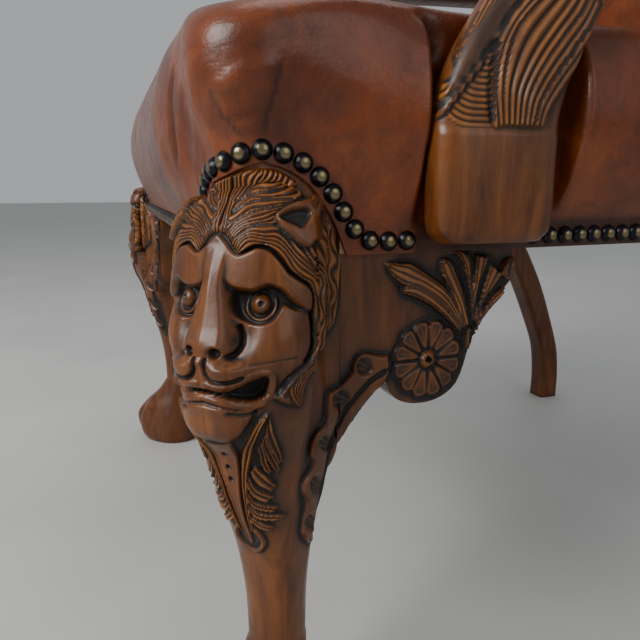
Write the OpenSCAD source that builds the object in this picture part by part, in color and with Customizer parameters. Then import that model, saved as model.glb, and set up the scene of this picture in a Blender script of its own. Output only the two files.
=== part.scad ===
// Carved open armchair with lion-mask front legs and a close-nailed leather seat and back.
// The sitter faces -Y. The floor is at z = 0 and the origin is the middle of the plan.

/* [Seat frame] */
// Width across the front rail
seat_w = 620; // [580:5:680]
// Depth from the front rail's face to the back of the rear legs
seat_d = 565; // [540:5:620]
// Height of the top of the seat rails
rail_top = 405; // [385:5:430]
// Height of a seat rail
rail_h = 68; // [60:1:80]
// Thickness of a seat rail
rail_t = 32; // [28:1:38]
// Angle by which each side runs in towards the back
taper = 2; // [0:0.5:3]
// Length of the tenons on the rails
tenon_l = 20; // [14:1:24]
// Thickness of the tenons
tenon_t = 12; // [8:1:14]

/* [Front legs] */
// Side of the square stile at the top of a front leg
stile = 60; // [54:1:66]
// Thickness of the carved bracket under a rail
bracket_t = 24; // [18:1:28]
// Height of the raised carving on a bracket
relief = 4; // [2:0.5:6]
// Number of petals on the rosette
petals = 12; // [10:1:14]

/* [Rear legs and back] */
// Thickness of a rear leg at the seat
rear_leg_t = 45; // [40:1:50]
// Thickness of a rear leg at the foot
rear_foot_t = 34; // [30:1:38]
// How far the rear feet stand behind the posts at the seat
rear_sweep = 126; // [70:1:130]
// Angle by which the back leans
rake = 12; // [8:0.5:15]
// Height of the back above the seat rails, along its slope
back_h = 620; // [560:5:680]
// Depth of the crest rail at its middle
crest_h = 60; // [50:1:75]
// Height of the lower back rail
low_rail_h = 45; // [35:1:55]
// Gap between the seat rails and the back's lower edge
back_gap = 62; // [50:1:75]
// Thickness of the crest rail and the lower back rail
back_rail_t = 26; // [20:1:32]

/* [Arms] */
// Height of the middle of the arm where the support meets it
arm_z = 658; // [620:2:690]
// Width of an arm
arm_w = 50; // [42:1:56]
// Thickness of an arm
arm_t = 32; // [26:1:36]
// Distance from the front rail to the middle of the support's base
support_s = 141; // [125:1:160]
// Width of the support's base, seen from the side
support_w = 74; // [66:1:90]
// Thickness of the support's base
support_t = 28; // [22:1:32]
// Width of the support at its waist
waist_w = 27; // [22:1:34]
// Distance from the front rail to the support's waist
waist_s = 228; // [205:1:245]
// Width of the leather arm pad
pad_w = 46; // [38:1:50]
// Length of the leather arm pad
pad_l = 200; // [150:5:230]
// Height of the arm pad's crown
pad_h = 17; // [10:1:24]

/* [Upholstery] */
// Thickness of the leather
leather = 2; // [1.5:0.1:2.6]
// Height of the seat's crown above the rails
crown_h = 80; // [60:1:95]
// How far the leather swells past the front rail
front_swell = 20; // [14:1:40]
// How far the leather swells past a side rail
side_swell = 22; // [12:1:28]
// Height of the nail arch over a lion mask
arch_h = 47.5; // [42:0.5:56]
// How much lower the arch stands on the front than on the side
front_dip = 9; // [0:0.5:12]
// How far the back's padding stands in front of its posts
back_pad = 56; // [40:1:70]
// Diameter of a nail head
nail_d = 10.4; // [8:0.2:12]
// Distance from nail to nail
nail_pitch = 10.9; // [10.5:0.1:16]
// Width of the webbing
web_w = 50; // [40:1:60]
// Thickness of the webbing
web_t = 1.5; // [1:0.1:2]
// Thickness of the hessian and of the dust cover
cloth_t = 1; // [0.6:0.1:1.2]

/* [Fixings] */
// Diameter of the wood screws
screw_d = 5; // [4:0.5:6]
// Diameter of the dowels between supports and arms
dowel_d = 10; // [8:1:12]
// Length of those dowels
dowel_l = 40; // [30:2:46]

/* [Hidden] */

wood = "#7a3f1c";
dark_wood = "#5a2f17";
hide = "#8a3216";
antique_brass = "#6b5a35";
cloth = "#b79a6b";

seat_gap = 0.3;
back_swell = 1;
corner_r = 22;

function smooth(u) = let (c = min(max(u, 0), 1)) c * c * (3 - 2 * c);
// Smooth curve through the [position, value] pairs of a table
function span(x, t, i = 0) = (i >= len(t) - 2 || x <= t[i + 1][0]) ? i : span(x, t, i + 1);
function slope(t, i) =
    let (a = max(i - 1, 0), b = min(i + 1, len(t) - 1)) (t[b][1] - t[a][1]) / (t[b][0] - t[a][0]);
function curve(x, t) =
    let (i = span(x, t), w = t[i + 1][0] - t[i][0])
    let (u = min(max((x - t[i][0]) / w, 0), 1))
    let (m0 = slope(t, i) * w, m1 = slope(t, i + 1) * w)
    (2 * u ^ 3 - 3 * u ^ 2 + 1) * t[i][1] + (u ^ 3 - 2 * u ^ 2 + u) * m0
    + (3 * u ^ 2 - 2 * u ^ 3) * t[i + 1][1] + (u ^ 3 - u ^ 2) * m1;

// Point of a smooth path through control points, with t from 0 to 1
function path(p, t) =
    let (n = len(p) - 1, i = min(floor(t * n), n - 1), u = t * n - i)
    let (a = p[max(i - 1, 0)], b = p[i], c = p[i + 1], d = p[min(i + 2, n)])
    b + u * (c - a) / 2 + u ^ 2 * (a - 2.5 * b + 2 * c - d / 2) + u ^ 3 * (1.5 * (b - c) + (d - a) / 2);

function unit(v) = v / norm(v);
function middle(ring) = let (n = len(ring)) [for (k = [0:2]) sum([for (p = ring) p[k]]) / n];
function sum(v, i = 0, s = 0) = i == len(v) ? s : sum(v, i + 1, s + v[i]);

// Height of the leather's hem at a distance d from a front corner, with its arch over the mask
rail_bottom = rail_top - rail_h;
arch_w = 1.05 * stile;
hem_z = rail_bottom - 1;
function hem_at(d, dip = 0) = hem_z + (arch_h - dip) * pow(max(0, 1 - pow(d / arch_w, 3.5)), 0.93);
// The arch sinks by the dip as the hem turns from the side, at 90 degrees, to the front, at 0
function dip_at(a) = front_dip * pow(cos(min(max(a, 0), 90)), 2);

// Front leg pattern, drawn for a rail top at pattern_h and a stile of pattern_stile.
// Each table gives [height, size], with the carved face in the knee above knee_h.
pattern_h = 405;
pattern_stile = 60;
knee_h = 235;
ankle_h = 95;
leg_scale = stile / pattern_stile;
face_line = [[95, 17.5], [120, 18], [147, 21], [166, 25], [205, 37], [235, 46], [247, 54], [256, 58],
    [276, 58], [300, 56], [323, 52], [348, 47], [360, 41], [375, 29], [388, 10], [405, 2]];
face_half = [[95, 17.5], [130, 19], [166, 24], [205, 32], [235, 38], [260, 42], [290, 46], [318, 46.5],
    [340, 45], [360, 39], [372, 31], [384, 14], [388, 6], [405, 2]];
stile_half = [[95, 17.5], [130, 18.5], [166, 22], [200, 26], [235, 29], [260, 30], [405, 30]];
stile_power = [[95, 2], [166, 2.4], [204, 4.2], [222, 9], [235, 30], [405, 40]];
paw_centre = [[0, 20], [14, 23], [33, 24], [55, 19], [75, 9], [95, 0]];
paw_length = [[0, 40], [14, 45], [33, 47], [55, 37], [75, 24], [95, 17.5]];
paw_half = [[0, 34], [14, 37], [33, 36], [55, 30], [75, 22], [95, 17.5]];
mask_top = 388;
// Swellings and hollows of the face: [sideways, height, half width, half height, amount]
features = [[0, 302, 8, 11, 12], [0, 326, 6, 14, 5], [0, 350, 16, 10, 3], [20, 338, 11, 6, 5],
    [11, 320, 6, 7, -6], [23, 317, 6, 6, 3], [35, 318, 5, 6, -3], [13, 284, 9, 9, 7],
    [14, 272, 15, 4, -7], [10, 264, 12, 4, 3], [0, 253, 14, 7, 4], [32, 297, 9, 12, 3],
    [27, 358, 7, 9, 6], [0, 212, 9, 26, 3]];
toe_angle = 38;
toe_groove = 4;

function leg_z(h) = h < knee_h ? h * (rail_top - pattern_h + knee_h) / knee_h : h + rail_top - pattern_h;
function round_power(c, s, a, b, n) = pow(pow(abs(c) / a, n) + pow(abs(s) / b, n), -1 / n);
// Rounding of the stile's outer corner, which the leather turns round
function corner_out(phi) =
    let (r = corner_r / leg_scale, m = (pattern_stile / 2 - r) * sqrt(2))
    abs(phi) > 30 ? pattern_stile : m * cos(phi) + sqrt(r * r - pow(m * sin(phi), 2));
// The stile's outer side follows the taper of the side rail
function side_limit(phi) = cos(phi - 45 - taper) < 0.2 ? pattern_stile
    : pattern_stile / 2 * (cos(taper) - sin(taper)) / cos(phi - 45 - taper);
function stile_r(phi, h) =
    let (b = min(curve(h, stile_half), pattern_stile / 2), n = curve(h, stile_power))
    min(round_power(cos(phi - 45), sin(phi - 45), b, b, n), corner_out(phi), side_limit(phi));
// The mask stays in front of the rails, which butt against the stile's back faces
function mask_limit(phi) = abs(phi) < 50 ? 2 * pattern_stile : pattern_stile / 2 / sin(abs(phi) - 45);
function mask_r(phi, h) =
    h > mask_top || cos(phi) < -0.01 ? 0
    : round_power(cos(phi), sin(phi), curve(h, face_line), curve(h, face_half), 2.35);
function bump(t, h, f) = f[4] * exp(-pow((t - f[0]) / f[2], 2) - pow((h - f[1]) / f[3], 2));
function face(t, h) = sum([for (f = features) bump(abs(t), h, f)]);
// Share of the mask that stands out of the stile: none where the leather covers it
hem_clear = 7;
function under_arch(r, phi, h) =
    let (hem = hem_at(stile / 2 + leg_scale * r * sin(abs(phi) - 45) + hem_clear / 2, dip_at(phi + 45)))
    smooth((hem - leg_z(h) - hem_clear) / 6);
function leg_r(phi, h) =
    let (s = stile_r(phi, h), m = s + (mask_r(phi, h) - s) * under_arch(s, phi, h))
    m > s ? min(m + face(m * sin(phi), h) * min(1, (m - s) / 8), max(s, mask_limit(phi))) : s;
function toes(phi, h) = h > 60 || cos(phi) < 0 ? 0
    : toe_groove * (exp(-pow(phi / 9, 2)) + exp(-pow((abs(phi) - toe_angle) / 9, 2))) * min(1, (60 - h) / 20);
function paw_r(phi, h) =
    round_power(cos(phi), sin(phi), curve(h, paw_length), curve(h, paw_half), 2.3) - toes(phi, h);

front_steps = 13;
leg_angles = concat(
    [for (k = [-front_steps:front_steps - 1]) 90 * sign(k) * pow(abs(k) / front_steps, 1.25)],
    [for (k = [0:9]) 90 + 18 * k]);
leg_heights = concat([0, 6, 14, 24, 33, 44, 55, 65, 75, 85], [for (h = [95:14:221]) h],
    [for (h = [234:6:pattern_h - 9]) h], [pattern_h]);
leg_rings = [for (h = leg_heights) [for (phi = leg_angles)
    let (low = h < ankle_h, r = low ? paw_r(phi, h) : leg_r(phi, h), c = low ? curve(h, paw_centre) : 0)
    [leg_scale * (c + r * cos(phi)), leg_scale * r * sin(phi), leg_z(h)]]];

// Places of the main lines of the frame
post_s = seat_d - rear_leg_t / 2;
nail_rise = nail_d * 0.34;
nail_inset = nail_d / 2 + 1;
back_reach = max(post_s + rear_sweep + rear_foot_t / 2, post_s + (back_h - nail_inset) * sin(rake)
    + (rear_leg_t / 2 + leather + seat_gap + nail_rise) * cos(rake));
paw_reach = max([for (ring = leg_rings, p = ring) (p[0] - p[1]) / sqrt(2)]) - stile / 2;
front_reach = max(paw_reach, front_swell + leather + seat_gap);
front_y = -(back_reach - front_reach) / 2;
stile_x = seat_w / 2 - stile / 2;
stile_y = front_y + stile / 2;

// Half the width of the frame at a distance s behind the front rail's face
function half_at(s) = seat_w / 2 - s * tan(taper);
post_x = half_at(post_s) - rear_leg_t / 2;
rear_face = front_y + seat_d - rear_leg_t;

// Closed skin over a stack of rings that all have the same number of points
function skin_faces(rows, m) =
    let (low = rows * m, high = rows * m + 1)
    concat(
        [for (j = [0:rows - 2], i = [0:m - 1]) [j * m + i, (j + 1) * m + i, (j + 1) * m + (i + 1) % m]],
        [for (j = [0:rows - 2], i = [0:m - 1]) [j * m + i, (j + 1) * m + (i + 1) % m, j * m + (i + 1) % m]],
        [for (i = [0:m - 1]) [low, i, (i + 1) % m]],
        [for (i = [0:m - 1]) [high, (rows - 1) * m + (i + 1) % m, (rows - 1) * m + i]]);
module skin(rings) {
    rows = len(rings);
    points = concat([for (r = rings) each r], [middle(rings[0]), middle(rings[rows - 1])]);
    polyhedron(points, skin_faces(rows, len(rings[0])), convexity = 6);
}

// Closed shell between an outer and an inner stack of rings that share the same counts
module shell(outer, inner) {
    rows = len(outer);
    m = len(outer[0]);
    n = rows * m;
    points = concat([for (r = outer) each r], [for (r = inner) each r],
        [middle(outer[rows - 1]), middle(inner[rows - 1])]);
    faces = concat(
        [for (j = [0:rows - 2], i = [0:m - 1]) [j * m + i, (j + 1) * m + i, (j + 1) * m + (i + 1) % m]],
        [for (j = [0:rows - 2], i = [0:m - 1]) [j * m + i, (j + 1) * m + (i + 1) % m, j * m + (i + 1) % m]],
        [for (j = [0:rows - 2], i = [0:m - 1])
            [n + j * m + i, n + (j + 1) * m + (i + 1) % m, n + (j + 1) * m + i]],
        [for (j = [0:rows - 2], i = [0:m - 1])
            [n + j * m + i, n + j * m + (i + 1) % m, n + (j + 1) * m + (i + 1) % m]],
        [for (i = [0:m - 1]) [2 * n, (rows - 1) * m + (i + 1) % m, (rows - 1) * m + i]],
        [for (i = [0:m - 1]) [2 * n + 1, n + (rows - 1) * m + i, n + (rows - 1) * m + (i + 1) % m]],
        [for (i = [0:m - 1]) [i, (i + 1) % m, n + (i + 1) % m]],
        [for (i = [0:m - 1]) [i, n + (i + 1) % m, n + i]]);
    polyhedron(points, faces, convexity = 8);
}

// Local frames: x points out of the chair, y runs along the rail from the front corner
module on_side() {
    translate([seat_w / 2, front_y, 0]) rotate([0, 0, taper]) children();
}
module on_front() {
    translate([seat_w / 2, front_y, 0]) mirror([1, 0, 0]) rotate([0, 0, -90]) children();
}
module on_back() {
    translate([0, front_y + post_s, rail_top]) rotate([-rake, 0, 0]) children();
}
module upright(depth) {
    rotate([90, 0, 90]) linear_extrude(depth) children();
}
module both_sides() {
    children();
    mirror([1, 0, 0]) children();
}

// Rails and their tenons; grow opens a tenon into the mortise that takes it
mortise_play = 0.15;
tenon_margin = 11;
function side_x(y, depth) = half_at(y - front_y) - depth / cos(taper);
module side_bar(y0, y1, near, far, z0, z1) {
    translate([0, 0, z0]) linear_extrude(z1 - z0)
        polygon([[side_x(y0, near), y0], [side_x(y1, near), y1],
            [side_x(y1, far), y1], [side_x(y0, far), y0]]);
}
module side_tenons(grow) {
    mid = rail_t / 2;
    half = tenon_t / 2 + grow;
    side_bar(front_y + stile - tenon_l - grow, rear_face + tenon_l + grow, mid - half, mid + half,
        rail_bottom + tenon_margin - grow, rail_top - tenon_margin + grow);
}
module cross_tenons(y, half_length, grow) {
    translate([-half_length - tenon_l - grow, y - tenon_t / 2 - grow, rail_bottom + tenon_margin - grow])
        cube([2 * (half_length + tenon_l + grow), tenon_t + 2 * grow, rail_h - 2 * tenon_margin + 2 * grow]);
}
front_half = seat_w / 2 - stile;
rear_half = post_x - rear_leg_t / 2;
front_tenon_y = front_y + rail_t / 2;
rear_tenon_y = rear_face + rail_t / 2;

module front_rail() {
    color(wood) difference() {
        union() {
            translate([-front_half, front_y, rail_bottom]) cube([2 * front_half, rail_t, rail_h]);
            cross_tenons(front_tenon_y, front_half, 0);
        }
        block_screws(mortise_play);
    }
}
module rear_rail() {
    color(wood) difference() {
        union() {
            translate([-rear_half, rear_face, rail_bottom]) cube([2 * rear_half, rail_t, rail_h]);
            cross_tenons(rear_tenon_y, rear_half, 0);
        }
        block_screws(mortise_play);
    }
}
module side_rail_left() {
    color(wood) difference() {
        union() {
            side_bar(front_y + stile, rear_face, 0, rail_t, rail_bottom, rail_top);
            side_tenons(0);
        }
        block_screws(mortise_play);
        support_screws(mortise_play);
    }
}
module side_rail_right() {
    mirror([1, 0, 0]) side_rail_left();
}

module front_leg_left() {
    color(wood) difference() {
        translate([stile_x, stile_y, 0]) rotate([0, 0, -45]) skin(leg_rings);
        side_tenons(mortise_play);
        cross_tenons(front_tenon_y, front_half, mortise_play);
    }
}
module front_leg_right() {
    mirror([1, 0, 0]) front_leg_left();
}

// Rear leg and back post in one length: the leg sweeps back below the seat
rear_sweep_line = [[0, 1], [0.12, 1], [0.27, 0.945], [0.43, 0.785], [0.61, 0.57], [0.76, 0.34], [0.9, 0.1],
    [1, 0]];
post_top = back_h - crest_h;
post_chamfer = 4;
back_rail_y = (rear_leg_t - back_rail_t) / 2;
post_tenon_h = 18;
function post_ring(half) =
    let (c = post_chamfer, h = half)
    [[c - h, -h], [h - c, -h], [h, c - h], [h, h - c], [h - c, h], [c - h, h], [-h, h - c], [-h, c - h]];
function low_ring(k) =
    let (half = (rear_foot_t + (rear_leg_t - rear_foot_t) * max(0, k - 0.31) / 0.69) / 2)
    [for (p = post_ring(half))
        [p[0], p[1] + rear_sweep * curve(k, rear_sweep_line), k * rail_bottom - rail_top]];
function high_ring(v) = [for (p = post_ring(rear_leg_t / 2))
    [p[0], p[1] * cos(rake) + v * sin(rake), v * cos(rake) - p[1] * sin(rake)]];
post_rings = concat([for (k = [0:0.0625:1]) low_ring(k)],
    [[for (p = post_ring(rear_leg_t / 2)) [p[0], p[1], 0]]], [high_ring(40), high_ring(post_top)]);
module post_tenon(grow) {
    both_sides() translate([post_x - 12 - grow, -tenon_t / 2 - back_rail_y - grow, post_top - 1])
        cube([24 + 2 * grow, tenon_t + 2 * grow, post_tenon_h + 1 + grow]);
}
module low_rail_tenons(grow) {
    translate([-rear_half - tenon_l - grow, -tenon_t / 2 - back_rail_y - grow,
        back_gap + tenon_margin / 2 - grow])
        cube([2 * (rear_half + tenon_l + grow), tenon_t + 2 * grow, low_rail_h - tenon_margin + 2 * grow]);
}
module rear_leg_left() {
    color(wood) difference() {
        union() {
            translate([post_x, front_y + post_s, rail_top]) skin(post_rings);
            on_back() intersection() {
                post_tenon(0);
                translate([0, -back_h / 2, 0]) cube(back_h);
            }
        }
        side_tenons(mortise_play);
        cross_tenons(rear_tenon_y, rear_half, mortise_play);
        on_back() low_rail_tenons(mortise_play);
        arm_screw_line(mortise_play);
    }
}
module rear_leg_right() {
    mirror([1, 0, 0]) rear_leg_left();
}

// Crest rail with a low serpentine top, and the lower rail of the back
crest_line = [[0, 0], [0.3, -5], [0.55, -17], [0.75, -22], [0.9, -17], [1, -14]];
back_half = post_x + rear_leg_t / 2;
function crest_v(x) = back_h + curve(abs(x) / back_half, crest_line);
module crest_rail() {
    color(wood) on_back() difference() {
        translate([0, back_rail_t / 2 - back_rail_y, 0]) rotate([90, 0, 0]) linear_extrude(back_rail_t)
            intersection() {
                back_outline(0);
                translate([-back_half, post_top]) square([2 * back_half, back_h]);
            }
        post_tenon(mortise_play);
    }
}
module back_lower_rail() {
    color(wood) on_back() {
        translate([-rear_half, -back_rail_y - back_rail_t / 2, back_gap])
            cube([2 * rear_half, back_rail_t, low_rail_h]);
        low_rail_tenons(0);
    }
}

// Carved brackets: a scrolled ear with a rosette and a spray of leaves
// Points of an ear as [along the rail, below the rail], starting at the stile
ear = [[-2, -110], [9, -96], [18, -85], [29, -75], [33, -82], [40, -88], [51, -91], [64, -90], [75, -84],
    [81, -74], [87, -53], [92, -43], [101, -32], [111, -22], [115, -13], [113, -6], [112, 0], [-2, 0]];
rosette_at = [54, -61];
rosette_r = 25;
leaf_tips = [[28, -7], [40, -21], [66, -12], [84, -9], [98, -14], [106, -22]];
module petal_ring() {
    for (i = [0:petals - 1]) rotate(i * 360 / petals) translate([rosette_r * 0.66, 0])
        polygon([for (a = [0:36:324]) [rosette_r * 0.33 * cos(a), rosette_r * 0.2 * sin(a)]]);
}
module leaf(from, to) {
    d = to - from;
    l = norm(d);
    w = l * 0.16;
    translate(from) rotate(atan2(d[1], d[0]))
        polygon([[0, -w / 3], [l * 0.4, -w], [l * 0.8, -w * 0.8], [l, 0], [l * 0.8, w * 0.8],
            [l * 0.4, w], [0, w / 3]]);
}
module bracket() {
    color(wood) translate([0, stile, rail_bottom]) {
        translate([-bracket_t, 0, 0]) upright(bracket_t) polygon(ear);
        upright(relief) for (tip = leaf_tips) leaf([66, -40], tip);
        upright(relief) translate(rosette_at) petal_ring();
        upright(relief + 1) translate(rosette_at) difference() {
            circle(r = rosette_r * 0.34);
            circle(r = rosette_r * 0.13);
        }
    }
}
module side_bracket_left() {
    difference() {
        on_side() bracket();
        translate([0, front_y, 0]) cube([seat_w, stile, rail_top]);
    }
}
module side_bracket_right() {
    mirror([1, 0, 0]) side_bracket_left();
}
module front_bracket_left() {
    difference() {
        on_front() bracket();
        translate([front_half, front_y - stile, 0]) cube([stile, 2 * stile, rail_top]);
    }
}
module front_bracket_right() {
    mirror([1, 0, 0]) front_bracket_left();
}

// Corner blocks inside the frame, each held by two screws
block_run = 56;
block_z = rail_bottom + 12;
block_h = 40;
head_d = screw_d * 1.8;
screw_bite = 20;
module front_block() {
    y0 = front_y + rail_t;
    y1 = front_y + stile;
    polygon([[front_half, y0], [front_half, y1], [side_x(y1, rail_t), y1],
        [side_x(y1 + block_run, rail_t), y1 + block_run], [front_half - block_run, y0]]);
}
module rear_block() {
    polygon([[side_x(rear_face, rail_t), rear_face], [side_x(rear_face, rail_t) - block_run, rear_face],
        [side_x(rear_face - block_run, rail_t), rear_face - block_run]]);
}
// Screw along +z from its head's underside, with a bored seat for the head above it
module wood_screw(length, grow) {
    cylinder(d = screw_d + 2 * grow, h = length + grow);
    translate([0, 0, -3 - (grow > 0 ? block_run : 0)])
        cylinder(d = head_d + 4 * grow, h = 3 + (grow > 0 ? block_run : 0));
}
module block_screws(grow) {
    z = block_z + block_h / 2;
    lift = block_h / 5;
    shank = 10 + screw_bite;
    both_sides() {
        translate([front_half - block_run * 0.45, front_y + rail_t + 10, z + lift])
            rotate([90, 0, 0]) wood_screw(shank, grow);
        translate([side_x(front_y + stile + block_run * 0.5, rail_t) - 10, front_y + stile + block_run * 0.5,
            z - lift]) rotate([0, 90, 0]) wood_screw(shank, grow);
        translate([side_x(rear_face, rail_t) - block_run * 0.5, rear_face - 10, z + lift])
            rotate([-90, 0, 0]) wood_screw(shank, grow);
        translate([side_x(rear_face - block_run * 0.5, rail_t) - 10, rear_face - block_run * 0.5, z - lift])
            rotate([0, 90, 0]) wood_screw(shank, grow);
    }
}
module corner_blocks() {
    color(dark_wood) difference() {
        both_sides() translate([0, 0, block_z]) linear_extrude(block_h) {
            front_block();
            rear_block();
        }
        block_screws(mortise_play);
    }
}
module corner_screws() {
    color(antique_brass) block_screws(0);
}

// Arm supports: a thick scrolled block outside the seat that narrows and sweeps back to the arm
support_z0 = rail_bottom + 5;
support_z1 = arm_z - arm_t / 2 - seat_gap;
support_in = leather + 2 * seat_gap;
waist_t = 24;
waist_out = 28;
sweep_back = [[0, 0], [0.21, 0], [0.294, 0.07], [0.394, 0.24], [0.527, 0.49], [0.727, 0.79], [0.861, 0.93],
    [0.954, 1], [1, 1]];
broad = [[0, 0.7], [0.02, 0.94], [0.06, 1], [0.294, 1], [0.394, 0.92], [0.527, 0.66], [0.727, 0.25],
    [0.861, 0.06], [0.954, 0], [1, 0.15]];
support_steps = [0, 0.02, 0.06, 0.13, 0.21, 0.25, 0.294, 0.344, 0.394, 0.46, 0.527, 0.62, 0.727, 0.8, 0.861,
    0.91, 0.954, 1];
function support_ring(u) =
    let (s = support_s + (waist_s - support_s) * curve(u, sweep_back), b = curve(u, broad))
    let (half_s = (waist_w + (support_w - waist_w) * b) / 2)
    let (lean = max(0, (u - 0.21) / 0.79), half_o = (support_t + (waist_t - support_t) * lean) / 2)
    let (o = support_in + support_t / 2 + (waist_out - support_in - support_t / 2) * lean)
    let (flat = u < 0.02 ? 0.85 : 1)
    [for (a = [0:18:342]) let (r = round_power(cos(a), sin(a), half_o * flat, half_s, 4))
        [o - half_o * (1 - flat) + r * cos(a), s + r * sin(a), support_z0 + (support_z1 - support_z0) * u]];
module support_screws(grow) {
    z = (rail_bottom + rail_top) / 2;
    shank = rail_t + support_in + screw_bite - 4;
    both_sides() on_side() for (side = [-1, 1])
        translate([4 - rail_t, support_s + side * support_w / 4, z + side * rail_h / 8])
            rotate([0, 90, 0]) wood_screw(shank, grow);
}
arm_x = half_at(waist_s) + waist_out;
module arm_dowel_line(grow) {
    translate([arm_x, front_y + waist_s, support_z1 - dowel_l / 2 - grow])
        cylinder(d = dowel_d + 2 * grow, h = dowel_l + 2 * grow);
}
module arm_support_left() {
    color(wood) difference() {
        on_side() skin([for (u = support_steps) support_ring(u)]);
        support_screws(mortise_play);
        arm_dowel_line(mortise_play);
    }
}
module arm_support_right() {
    mirror([1, 0, 0]) arm_support_left();
}
module arm_support_screws() {
    color(antique_brass) support_screws(0);
}
module arm_dowels() {
    color(dark_wood) both_sides() arm_dowel_line(0);
}

// Arms: they leave the posts, bow outwards and end in a rolled scroll in front of the supports
arm_rise = 9;
arm_bow = 9;
post_line_s = post_s + (arm_z + arm_rise - rail_top) * tan(rake);
arm_root_x = back_half + 2 * seat_gap + leather + back_swell;
arm_front = 80;
arm_points = [[arm_root_x, post_line_s, arm_z + arm_rise],
    [arm_root_x + 22, post_line_s - 4, arm_z + arm_rise + 1],
    [arm_x + arm_bow - 3, post_line_s - 40, arm_z + arm_rise],
    [arm_x + arm_bow, post_line_s - 120, arm_z + arm_rise - 2],
    [arm_x + arm_bow, (post_line_s + waist_s) / 2 - 10, arm_z + 4],
    [arm_x + arm_bow / 2, waist_s + 80, arm_z + 1],
    [arm_x, waist_s, arm_z], [arm_x - 1, waist_s - 45, arm_z + 1],
    [arm_x - 1, waist_s - arm_front, arm_z - 2]];
arm_steps = 28;
arm_width_line = [[0, 0.86], [0.3, 0.94], [0.6, 1], [0.85, 1.04], [1, 1.1]];
function arm_at(t) = let (p = path(arm_points, t)) [p[0], p[1] + front_y, p[2]];
function arm_dir(t) = t <= 0 ? [1, 0, 0] : t >= 1 ? [0, -1, 0] : unit(arm_at(t + 0.01) - arm_at(t - 0.01));
function arm_side(t) = unit(cross([0, 0, 1], arm_dir(t)));
function arm_ring(t) =
    let (c = arm_at(t), e = arm_side(t), f = cross(arm_dir(t), e), w = arm_w / 2 * curve(t, arm_width_line))
    [for (a = [0:22.5:337.5]) let (r = round_power(cos(a), sin(a), w, arm_t / 2, 4))
        c + r * cos(a) * e + r * sin(a) * f];
scroll_r = 21;
scroll_w = 58;
module arm_screw_line(grow) {
    p = arm_at(0);
    both_sides() translate([rear_half + 4, p[1], p[2]]) rotate([0, 90, 0])
        wood_screw(p[0] - rear_half - 4 + screw_bite, grow);
}
module arm_left() {
    color(wood) difference() {
        union() {
            skin([for (j = [0:arm_steps]) arm_ring(j / arm_steps)]);
            translate(arm_at(1) - [scroll_w / 2, 0, 3]) rotate([0, 90, 0])
                cylinder(r = scroll_r, h = scroll_w);
            translate(arm_at(1) - [scroll_w / 2 + relief, 0, 3]) rotate([0, 90, 0])
                cylinder(r = scroll_r * 0.4, h = scroll_w + 2 * relief);
        }
        arm_dowel_line(mortise_play);
        arm_screw_line(mortise_play);
    }
}
module arm_right() {
    mirror([1, 0, 0]) arm_left();
}
module arm_screws() {
    color(antique_brass) arm_screw_line(0);
}

// Nails with domed heads
module nail_head() {
    ball = (nail_d * nail_d / 4 + nail_rise * nail_rise) / (2 * nail_rise);
    intersection() {
        translate([0, 0, nail_rise - ball]) sphere(r = ball, $fn = 32);
        cylinder(d = nail_d + 2, h = nail_rise + 1);
    }
}
// Nails at a steady pitch along a line of [x, y, z, facing angle] points
function step(a, b) = norm([for (k = [0:2]) b[k] - a[k]]);
function run_length(line) = [for (i = 0, l = 0; i < len(line);
    l = l + (i + 1 < len(line) ? step(line[i], line[i + 1]) : 0), i = i + 1) l];
module nail_row(line) {
    lengths = run_length(line);
    total = lengths[len(line) - 1];
    count = floor(total / nail_pitch);
    columns = [for (k = [0:3]) [for (i = [0:len(line) - 1]) [lengths[i], line[i][k]]]];
    for (n = [0:count - 1]) {
        l = (n + 0.5) * total / count;
        translate([for (k = [0:2]) lookup(l, columns[k])]) rotate([0, 90, lookup(l, columns[3])]) nail_head();
    }
}

// Arm pads: stuffed leather, close-nailed to the arm
pad_mid = (post_line_s + waist_s) / 2;
pad_steps = 14;
pad_ends = [[0, 0.55], [0.06, 0.85], [0.15, 1], [0.85, 1], [0.94, 0.85], [1, 0.55]];
function arm_t_at(s, lo = 0.2, hi = 1, n = 18) =
    n == 0 ? (lo + hi) / 2
    : let (m = (lo + hi) / 2, behind = arm_at(m)[1] - front_y > s)
        arm_t_at(s, behind ? m : lo, behind ? hi : m, n - 1);
function pad_ring(k) =
    let (t = arm_t_at(pad_mid + pad_l * (0.5 - k)), c = arm_at(t) + [0, 0, arm_t / 2 + seat_gap])
    let (e = arm_side(t), g = curve(k, pad_ends), w = pad_w / 2 * (0.82 + 0.18 * g))
    [for (a = [0:20:180]) let (r = round_power(cos(a), sin(a), w, pad_h * g, 2.6))
        c + r * cos(a) * e + [0, 0, r * sin(a)]];
module arm_pad_left() {
    color(hide) skin([for (j = [0:pad_steps]) pad_ring(j / pad_steps)]);
}
module arm_pad_right() {
    mirror([1, 0, 0]) arm_pad_left();
}
module arm_pad_nails() {
    color(antique_brass) both_sides() for (side = [-1, 1])
        nail_row([for (j = [1:pad_steps - 2])
            let (k = j / pad_steps, t = arm_t_at(pad_mid + pad_l * (0.5 - k)), g = curve(k, pad_ends))
            let (p = arm_at(t) + side * (pad_w / 2 * (0.82 + 0.18 * g) + 2 * seat_gap) * arm_side(t))
            let (e = arm_side(t))
            [p[0], p[1], p[2] + arm_t / 2 + nail_d / 2 - 1, atan2(e[1], e[0]) + 90 * (1 - side)]]);
}

// Seat cushion. A station is [x, y, normal x, normal y, hem height, swell, drop of the top, nailed band]
nail_band = 13;
rear_s = seat_d - rear_leg_t + rail_t;
support_lean = 8;
function beside_support(s) =
    1 - smooth((support_w / 2 + support_lean + 14 - abs(s - support_s - support_lean)) / 12);
function corner_calm(d) = 0.3 + 0.7 * smooth((d - 40) / 90);
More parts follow.
